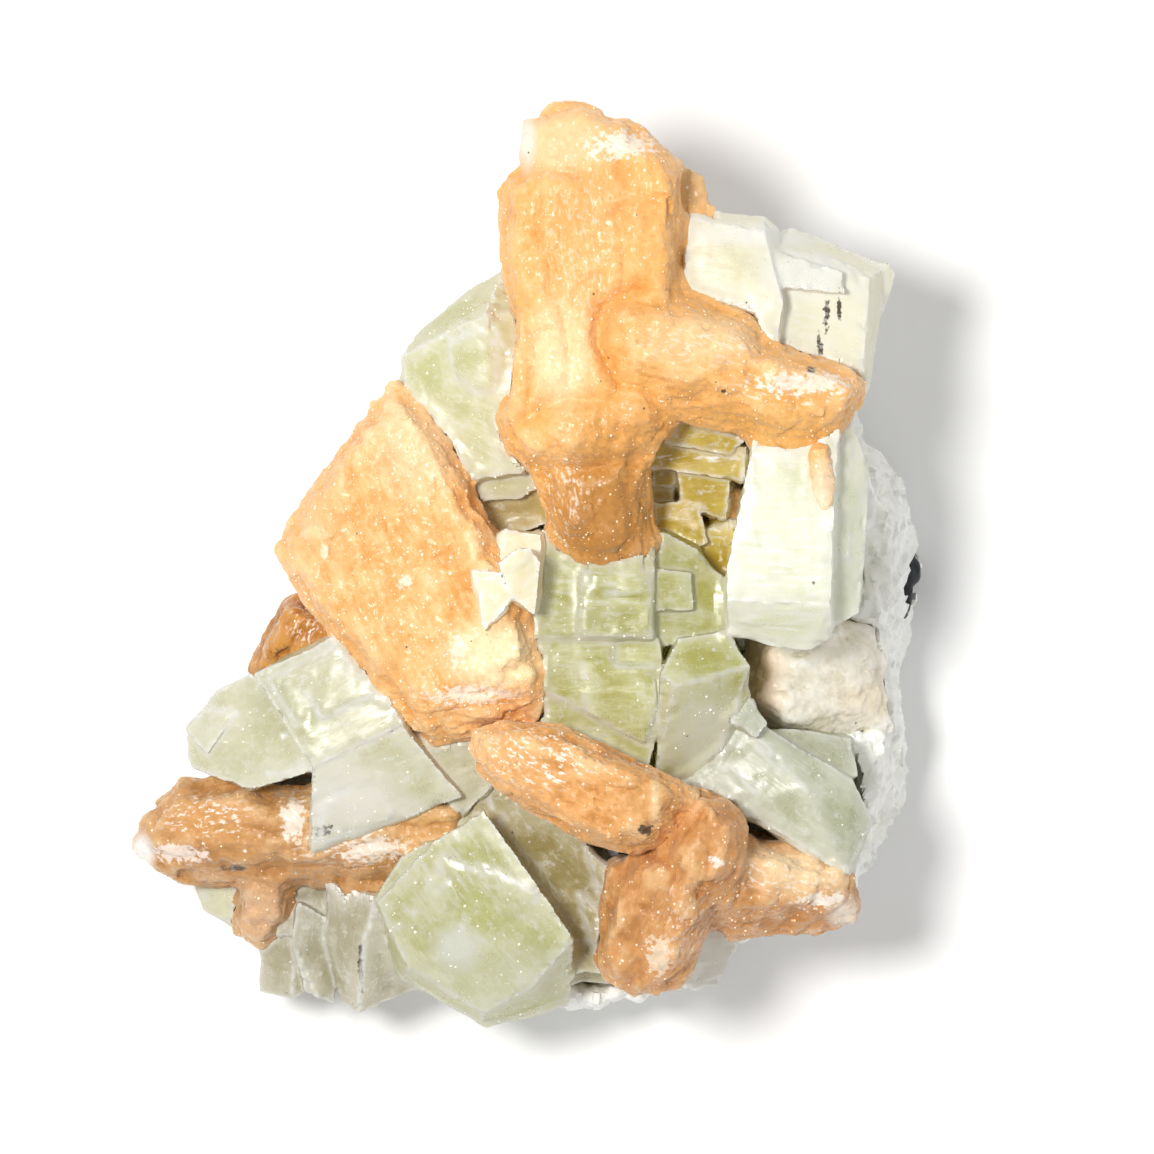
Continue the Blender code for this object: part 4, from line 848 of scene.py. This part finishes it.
def crystal_skin(piece):
    """An even mesh that keeps the crystal's edges and corners sharp."""
    remesh = piece.modifiers.new("skin", "REMESH")
    remesh.mode = "SHARP"
    remesh.octree_depth = SKIN_DEPTH
    remesh.scale = min(SKIN_WIDEST, max(piece.dimensions) / MM / (CRYSTAL_SKIN * 2 ** SKIN_DEPTH))
    remesh.use_remove_disconnected = False
    settle(piece)


def keep_edges(piece, name, outward):
    """Stores each point's distance from the nearest sharp edge, in millimetres up to EDGE_REACH:
    from the edges that stand out, or from the lines where two blocks meet."""
    bm = bmesh.new()
    bm.from_mesh(piece.data)
    bm.edges.ensure_lookup_table()
    sharp = [edge for edge in bm.edges
             if edge.is_manifold and edge.is_convex == outward and edge.calc_face_angle() > SHARP_ANGLE]
    tree = kdtree.KDTree(len(sharp) + 1)
    # One point a metre off, for a crystal that has no such edge
    tree.insert(Vector((1.0, 1.0, 1.0)), len(sharp))
    for number, edge in enumerate(sharp):
        tree.insert((edge.verts[0].co + edge.verts[1].co) * 0.5, number)
    tree.balance()
    away = [min(tree.find(vertex.co)[2] / MM, EDGE_REACH) for vertex in bm.verts]
    bm.free()
    store(piece, name, "FLOAT", away)
    return np.array(away)


def fill_joints(piece, joint):
    """Later growth rounds the lines where two blocks meet."""
    choose(piece)
    bpy.ops.object.mode_set(mode="EDIT")
    bpy.ops.mesh.select_mode(type="VERT")
    bpy.ops.mesh.select_all(action="DESELECT")
    bpy.ops.object.mode_set(mode="OBJECT")
    piece.data.vertices.foreach_set("select", joint < JOINT_REACH)
    bpy.ops.object.mode_set(mode="EDIT")
    bpy.ops.mesh.vertices_smooth(factor=0.5, repeat=JOINT_ROUNDS)
    bpy.ops.object.mode_set(mode="OBJECT")


def terrace(lie, steps, wander):
    """The own height, 0 to 1, of the square terrace that a place lies on."""
    return noise.cell(Vector([along / step for along, step in zip(lie, steps)]) + wander)


def crystal_heights(piece, turn, away):
    """Growth terraces square to the crystal, a faint waviness, and small chips along its edges."""
    spin = Matrix.Rotation(-turn, 3, "Z")
    heights = []
    for place, edge in zip(corners_of(piece), away):
        at = Vector(place) / MM
        lie = spin @ at
        wander = noise.noise_vector(at / TERRACE_WANDER_SIZE) * TERRACE_WANDER
        height = CRYSTAL_SWELL
        height += TERRACE * terrace(lie, TERRACE_STEPS, wander)
        height += FINE_TERRACE * terrace(lie, FINE_STEPS, wander * 2.0)
        height += RIPPLE * noise.noise(at / RIPPLE_SIZE) + WAVE * noise.noise(at / WAVE_SIZE)
        near_edge = max(0.0, 1.0 - edge / CHIP_REACH)
        height -= CHIP * near_edge * max(0.0, noise.noise(at / CHIP_NOISE_SIZE) - CHIP_SPARED)
        heights.append(height)
    return np.array(heights)


def apophyllite_finish(name, turn, clear, milk, milkiness, passing=0.35, tint=(0.90, 0.90, 0.66),
                       density=30.0, flecks=0.10):
    """Clear in depth, milky in veils, with fine lines and frost. Painted light makes it milkier towards its
    edges and where it stands out, clearer in its hollows and whiter along its joints, gives it white rims
    that are partly frost, and paints glints.
    """
    material, tree, where, shader = start_material(name)
    # The piece's terraces read the same turn
    material["turn"] = turn
    turned = add_node(tree, "Mapping", {"Vector": where, "Rotation": (0.0, 0.0, -turn)}).outputs[0]
    drawn = drawn_out(tree, turned, STREAK_STRETCH)
    edge = measure(tree, "edge")
    veils = cloudy(tree, where, VEIL_SCALE, 5.0, 0.66)
    streaks = cloudy(tree, drawn, STREAK_SCALE, 2.0, 0.6)
    crack = cloudy(tree, drawn, CRACK_SCALE, 4.0, 0.6)
    frost = cloudy(tree, turned, FROST_SCALE, 5.0, 0.72)
    zone = add_node(tree, "TexVoronoi", {"Vector": turned, "Scale": ZONE_SCALE}, distance="CHEBYCHEV")
    own = add_node(tree, "SeparateColor", {0: zone.outputs["Color"]}).outputs[0]
    share = calc(tree, "MULTIPLY_ADD", streaks, 0.22, calc(tree, "MULTIPLY", veils, 0.78))
    share = calc(tree, "MULTIPLY_ADD", calc(tree, "SUBTRACT", own, 0.5), 0.06, share)
    # Painted light: milkier towards the edges.
    share = calc(tree, "ADD", share, between(tree, edge, 2.8, 0.0, 0.0, 0.16))
    # Painted light and shade: milkier where the surface stands out, clearer and darker in its hollows.
    share = calc(tree, "ADD", share, between(tree, measure(tree, "bulge"), -0.2, 1.0, -0.08, 0.14))
    band = calc(tree, "FRACT", calc(tree, "MULTIPLY", edge, GROWTH_BANDS))
    share = calc(tree, "ADD", share, between(tree, band, 0.80, 1.0, 0.0, 0.05))
    milk_share_with_painted_light = between(tree, share, 0.56 - 0.34 * milkiness, 0.88 - 0.34 * milkiness)
    colour = tinted(tree, milk_share_with_painted_light, clear, milk)
    line = between(tree, calc(tree, "ABSOLUTE", calc(tree, "SUBTRACT", crack, 0.5)), 0.022, 0.004)
    line = calc(tree, "MULTIPLY", line, between(tree, veils, 0.46, 0.56, 0.0, 0.4))
    cracks_frost_and_painted_joint_light = calc(tree, "MAXIMUM", line, between(tree, frost, 0.55, 0.68, 0.0, 0.55))
    # Painted light: whiter along the joints where two blocks meet, which lie in shade.
    cracks_frost_and_painted_joint_light = calc(tree, "MAXIMUM", cracks_frost_and_painted_joint_light, between(tree, measure(tree, "joint"), 0.7, 0.1, 0.0, 0.5))
    # White rims along the sharp edges: partly frost and partly painted light.
    rim_frost_and_painted_edge_light = calc(tree, "MULTIPLY", between(tree, edge, 0.55, 0.05), between(tree, streaks, 0.35, 0.6, 0.4, 0.9))
    colour = painted(tree, where, colour)
    grain = grained(tree, where, Flecks=flecks, Fleck_Scale=1200.0, Facet_Scale=420.0, Sparkle=0.03)
    # Painted glints: whitened on the piece's glittering patches.
    painted_glint = calc(tree, "MULTIPLY", measure(tree, "painted_glint"), between(tree, streaks, 0.50, 0.64))
    white_marks_and_painted_light = calc(tree, "MAXIMUM", calc(tree, "MAXIMUM", rim_frost_and_painted_edge_light, cracks_frost_and_painted_joint_light),
                  calc(tree, "MAXIMUM", painted_glint, calc(tree, "MULTIPLY", grain["Fleck"], 0.8)))
    colour = tinted(tree, white_marks_and_painted_light, colour, FROST_WHITE)
    colour = tinted(tree, grain["Speck"], colour, (0.26, 0.22, 0.13, 1))
    put_on(tree, shader, colour, between(tree, veils, 0.35, 0.7, 0.26, 0.5),
           {"Height": streaks, "Strength": 0.25, "Distance": 0.00015, "Normal": grain["Normal"]})
    shader.inputs["Transmission Weight"].default_value = passing
    shader.inputs["IOR"].default_value = CRYSTAL_IOR
    depth = add_node(tree, "VolumeAbsorption", {"Color": tint + (1.0,), "Density": density})
    tree.links.new(depth.outputs[0], tree.nodes["Material Output"].inputs["Volume"])
    return material


def grow_apophyllite(node, name, material, plates, seed, washes=(), stains=(), painted_glints=(), fills=()):
    piece = copy_of(node, name)
    filled(piece, fills)
    in_edit_mode(piece, bpy.ops.mesh.dissolve_limited, angle_limit=FLAT_ENOUGH)
    grow_plates(piece, plates, seed)
    crystal_skin(piece)
    away = keep_edges(piece, "edge", True)
    joint = keep_edges(piece, "joint", False)
    moved_out(piece, crystal_heights(piece, material["turn"], away) + touching(piece, node))
    in_edit_mode(piece, bpy.ops.mesh.vertices_smooth, factor=CRYSTAL_SOFTENING, repeat=1)
    fill_joints(piece, joint)
    keep_bulge(piece)
    paint(piece, washes, stains, painted_glints)
    piece.data.materials.clear()
    piece.data.materials.append(material)
    choose(piece)
    bpy.ops.object.shade_smooth_by_angle(angle=CRYSTAL_SMOOTH)
    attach(piece, "root")
    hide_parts(node)
    return piece


CLEAR_GREEN = (0.71, 0.71, 0.36, 1)
MILK = (0.88, 0.88, 0.62, 1)
CHALK_WHITE = (0.97, 0.98, 0.93, 0.8)

# At the top right: two blocks side by side, with dark stains where stilbite broke off
top_right_stains = [
    ((29.7, 25.2, 35), (0.35, 1.9, 5), STAIN),
    ((29.0, 22.0, 35), (0.35, 1.9, 5), STAIN),
    ((28.0, 19.6, 35), (0.8, 0.7, 5), STAIN),
    ((31.0, 25.6, 35), (0.25, 1.7, 5), STAIN),
]
grow_apophyllite(
    "apophyllite_top_right", "top_right_blocks",
    apophyllite_finish("apophyllite at the top right", -0.12, (0.84, 0.81, 0.57, 1),
                       (0.92, 0.90, 0.72, 1), milkiness=0.7, passing=0.25),
    plates=0, seed=1,
    # Painted light: the first wash lightens the right block, whose face lies in shade.
    washes=[((31.0, 25.0, 34), (4.4, 8.0, 8), (0.99, 0.97, 0.78, 0.8)),
            ((27.6, 29.0, 35), (4.6, 2.4, 5), CHALK_WHITE),
            ((24.0, 33.0, 34), (9.0, 1.2, 5), CHALK_WHITE)],
    stains=top_right_stains,
    painted_glints=[((28.4, 24.0, 35), (3.0, 3.0, 5), 0.5)])

# The tall column on the right: white and pearly, lined across
grow_apophyllite(
    "apophyllite_right_column", "right_column",
    apophyllite_finish("pearly apophyllite", 0.05, (0.84, 0.87, 0.62, 1), (0.93, 0.94, 0.78, 1),
                       milkiness=0.7, passing=0.25, density=20.0),
    plates=4, seed=2, painted_glints=[((26.0, -1.0, 38), (4.4, 6.0, 8), 0.8)])

# Between the plate and the cross: green blocks strewn with grains
blocks_upper_left = grow_apophyllite(
    "apophyllite_upper_left", "upper_left_blocks",
    apophyllite_finish("apophyllite at the upper left", -0.5, CLEAR_GREEN, MILK, milkiness=0.6, flecks=0.2),
    plates=1, seed=3)

# The hollow under the cross: small clear olive crystals in one crust
grow_apophyllite(
    "apophyllite_pocket_crust", "hollow_crust",
    apophyllite_finish("olive apophyllite", 0.1, (0.55, 0.38, 0.02, 1), (0.70, 0.54, 0.09, 1),
                       milkiness=0.3, passing=0.25, tint=(0.90, 0.88, 0.45), flecks=0.05),
    plates=0, seed=4,
    washes=[((-2.0, 6.4, 27), (4.6, 4.6, 5), (0.64, 0.53, 0.28, 0.8))],
    painted_glints=[((16.6, 10.8, 31), (5.0, 0.5, 3), 1.0)],
    fills=[((16.8, 11.2, 26.6), (10.0, 3.4, 8.0), -0.15),
           ((19.2, 1.2, 22.4), (5.0, 6.4, 10.0), 0.2),
           ((-2.0, 6.6, 25.2), (7.6, 5.6, 6.4), 0.25)])

# The clear green group in the middle
blocks_centre = grow_apophyllite(
    "apophyllite_centre", "middle_blocks",
    apophyllite_finish("apophyllite in the middle", 0.02, (0.60, 0.58, 0.16, 1), (0.84, 0.83, 0.48, 1),
                       milkiness=0.45, passing=0.45, tint=(0.88, 0.89, 0.50), density=45.0),
    plates=0, seed=5,
    washes=[((8.0, -5.6, 35), (6.0, 1.6, 5), (0.50, 0.47, 0.13, 0.6)),
            # Painted light: this wash lightens the block on the right, which lies in shade.
            ((17.6, -17.0, 33), (4.4, 5.0, 7), (0.99, 0.99, 0.86, 0.8))],
    painted_glints=[((7.0, -7.4, 35), (6.4, 0.5, 4), 0.7), ((8.0, -2.0, 35), (7.0, 3.0, 5), 0.35)])

# Three small cream crystals that grew over the plate's right edge
grow_apophyllite(
    "apophyllite_plate_edge", "plate_edge_crystals",
    apophyllite_finish("cream apophyllite", 0.3, (0.90, 0.80, 0.48, 1), (0.95, 0.88, 0.62, 1),
                       milkiness=0.6, passing=0.15, density=20.0),
    plates=1, seed=6)

# The greyish slab at the lower right, with its small cap
blocks_lower_right = grow_apophyllite(
    "apophyllite_lower_right", "lower_right_slab",
    apophyllite_finish("apophyllite at the lower right", -0.6, (0.57, 0.59, 0.40, 1),
                       (0.76, 0.78, 0.62, 1), milkiness=0.6),
    plates=0, seed=7)

# The three blocks on the left, whose front face is frosted white
left_stains = [
    ((-21.7, -21.0, 32), (0.4, 0.7, 4), STAIN),
    ((-20.4, -26.5, 28), (1.1, 0.7, 4), STAIN),
]
blocks_left = grow_apophyllite(
    "apophyllite_left", "left_blocks",
    apophyllite_finish("apophyllite on the left", 0.45, (0.70, 0.68, 0.43, 1), (0.84, 0.83, 0.64, 1),
                       milkiness=0.6),
    plates=0, seed=8,
    washes=[((-18.0, -22.8, 29), (5.4, 4.2, 6), (0.99, 0.96, 0.85, 0.9)),
            ((-29.0, -15.6, 27), (2.4, 3.0, 5), (0.84, 0.78, 0.56, 0.4)),
            ((-22.6, -13.4, 31), (6.0, 5.0, 6), (0.58, 0.58, 0.34, 0.7))],
    stains=left_stains,
    painted_glints=[((-19.0, -24.0, 30), (3.0, 4.0, 5), 0.6)])

# The large clear block at the bottom, chalky at its left corner, and the darker one behind it
blocks_bottom_centre = grow_apophyllite(
    "apophyllite_bottom_centre", "bottom_block",
    apophyllite_finish("apophyllite at the bottom", -0.95, (0.65, 0.65, 0.27, 1), (0.88, 0.88, 0.60, 1),
                       milkiness=0.5, passing=0.45, density=40.0),
    plates=0, seed=9,
    washes=[((-7.2, -38.2, 29), (2.4, 2.4, 5), CHALK_WHITE),
            ((-3.0, -41.0, 28), (7.0, 4.0, 6), (0.92, 0.93, 0.82, 0.4))],
    painted_glints=[((-7.0, -30.0, 31), (5.0, 4.0, 6), 0.5)])

grow_apophyllite(
    "apophyllite_between", "block_between",
    apophyllite_finish("apophyllite between the bars", -0.9, (0.44, 0.36, 0.13, 1), (0.68, 0.62, 0.36, 1),
                       milkiness=0.4, density=60.0),
    plates=1, seed=10, fills=[((-5.2, -24.0, 22.0), (6.4, 6.0, 10.0), -0.6)])

# Low and to the back: greyish ribbed prisms, a small clear one, and a frosted blunt one
grow_apophyllite(
    "apophyllite_bottom_left", "bottom_left_prisms",
    apophyllite_finish("greyish apophyllite", 1.4, (0.53, 0.48, 0.31, 1), (0.72, 0.68, 0.53, 1),
                       milkiness=0.45),
    plates=3, seed=11, stains=[((-17.0, -41.0, 19), (0.3, 3.6, 5), STAIN)],
    fills=[((-21.0, -33.6, 12.0), (9.0, 5.6, 10.0), 0.15)])

grow_apophyllite(
    "apophyllite_back_left", "back_left_prism",
    apophyllite_finish("apophyllite behind", 0.9, (0.86, 0.86, 0.70, 1), MILK, milkiness=0.6),
    plates=2, seed=12)

grow_apophyllite(
    "apophyllite_bottom_right", "bottom_right_prism",
    apophyllite_finish("frosted apophyllite", 0.2, (0.86, 0.84, 0.70, 1), (0.93, 0.91, 0.82, 1),
                       milkiness=0.7, passing=0.25),
    plates=3, seed=13)


# Grains of the last growth: about three thousand tiny crystals, cream on the blades and clear
# white on the blocks, rounded like drops. Each sits where it grew, half sunk in the crystal.

GRAIN_SMALLEST = 0.05
GRAIN_LARGEST = 0.18
GRAIN_FLATNESS = 0.7
GRAIN_SLOPE = 0.35
GRAIN_CLOUD_SCALE = 700.0
MOSTLY_SMALL = 3


def grain_finish(name, low, high):
    material, tree, where, shader = start_material(name)
    cloud = cloudy(tree, where, GRAIN_CLOUD_SCALE, 2.0, 0.5)
    colour = tinted(tree, between(tree, cloud, 0.4, 0.6), low, high)
    tree.links.new(colour, shader.inputs["Base Color"])
    tree.links.new(between(tree, cloud, 0.3, 0.7, 0.2, 0.4), shader.inputs["Roughness"])
    return material


def strewn(name, counts, material, seed):
    """Grains on the upper sides of pieces, so many on each, in one mesh."""
    dice = np.random.default_rng(seed)
    bpy.ops.object.select_all(action="DESELECT")
    bpy.ops.mesh.primitive_ico_sphere_add(subdivisions=1, radius=1.0)
    pattern = bpy.context.object
    shape = corners_of(pattern) * (1.0, 1.0, GRAIN_FLATNESS)
    triangles = np.array([face.vertices[:] for face in pattern.data.polygons])
    bpy.data.objects.remove(pattern, do_unlink=True)
    spots = []
    for piece, count in counts:
        upward = np.flatnonzero(normals_of(piece)[:, 2] > GRAIN_SLOPE)
        spots.append(corners_of(piece)[dice.choice(upward, count, replace=False)])
    spots = np.concatenate(spots)
    sizes = GRAIN_SMALLEST + (GRAIN_LARGEST - GRAIN_SMALLEST) * dice.random(len(spots)) ** MOSTLY_SMALL
    corners = spots[:, None, :] + shape * sizes[:, None, None] * MM
    faces = triangles + len(shape) * np.arange(len(spots))[:, None, None]
    mesh = bpy.data.meshes.new(name)
    mesh.from_pydata(corners.reshape(-1, 3).tolist(), [], faces.reshape(-1, 3).tolist())
    grains = bpy.data.objects.new(name, mesh)
    bpy.context.scene.collection.objects.link(grains)
    choose(grains)
    bpy.ops.object.shade_smooth()
    mesh.materials.append(material)
    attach(grains, "root")


strewn("grains_on_blades", [
    (sheaf_top_cross, 900), (sheaf_left_plate, 1000), (sheaf_lower_bar, 160), (sheaf_bow_tie, 240),
    (sheaf_lower_left, 120)],
    grain_finish("cream grains", (0.93, 0.62, 0.32, 1), (0.98, 0.88, 0.68, 1)), seed=14)
strewn("grains_on_blocks", [
    (blocks_upper_left, 220), (blocks_centre, 160), (blocks_left, 120), (blocks_bottom_centre, 110),
    (blocks_lower_right, 50)],
    grain_finish("clear white grains", (0.82, 0.82, 0.62, 1), (0.97, 0.97, 0.88, 1)), seed=15)


# A plain white floor, soft daylight from the upper left, and a camera straight above.

FLOOR_SIZE = 3.0
STUDIO_LIGHT = 0.60
WINDOW_PLACE = (-0.22, 0.07, 0.77)
WINDOW_AIM = (0.0, 0.0, 0.02)
WINDOW_SIZE = 0.16
WINDOW_POWER = 4.6
CAMERA_HEIGHT = 1.53
CAMERA_RIGHT = 4.8 * MM
CAMERA_UP = -1.1 * MM
VIEW_WIDTH = 0.1154
VIEW_DEPTH = 1.5
SENSOR = 36.0

bpy.ops.object.select_all(action="DESELECT")
bpy.ops.mesh.primitive_plane_add(size=FLOOR_SIZE)
floor = bpy.context.object
floor.name = "floor"
floor_material, floor_tree, floor_where, floor_shader = start_material("white floor")
dust = cloudy(floor_tree, floor_where, 6.0, 2.0)
floor_colour = tinted(floor_tree, dust, (0.90, 0.90, 0.90, 1), (0.93, 0.93, 0.93, 1))
floor_tree.links.new(floor_colour, floor_shader.inputs["Base Color"])
floor_shader.inputs["Roughness"].default_value = 0.9
floor_shader.inputs["Specular IOR Level"].default_value = 0.1
floor.data.materials.append(floor_material)

world = bpy.data.worlds.new("white studio")
world.use_nodes = True
world.node_tree.nodes["Background"].inputs["Color"].default_value = (1.0, 1.0, 1.0, 1.0)
world.node_tree.nodes["Background"].inputs["Strength"].default_value = STUDIO_LIGHT
bpy.context.scene.world = world

window = bpy.data.objects.new("window", bpy.data.lights.new("window", "AREA"))
bpy.context.scene.collection.objects.link(window)
window.data.shape = "DISK"
window.data.size = WINDOW_SIZE
window.data.energy = WINDOW_POWER
window.data.color = (1.0, 0.99, 0.97)
window.location = WINDOW_PLACE
window.rotation_euler = (Vector(WINDOW_AIM) - Vector(WINDOW_PLACE)).to_track_quat("-Z", "Y").to_euler()

camera = bpy.data.objects.new("camera", bpy.data.cameras.new("camera"))
bpy.context.scene.collection.objects.link(camera)
camera.location = (CAMERA_RIGHT, CAMERA_UP, CAMERA_HEIGHT)
camera.data.sensor_width = SENSOR
camera.data.lens = SENSOR * VIEW_DEPTH / VIEW_WIDTH
camera.data.clip_end = 10.0
bpy.context.scene.camera = camera
bpy.context.scene.view_settings.view_transform = "Standard"
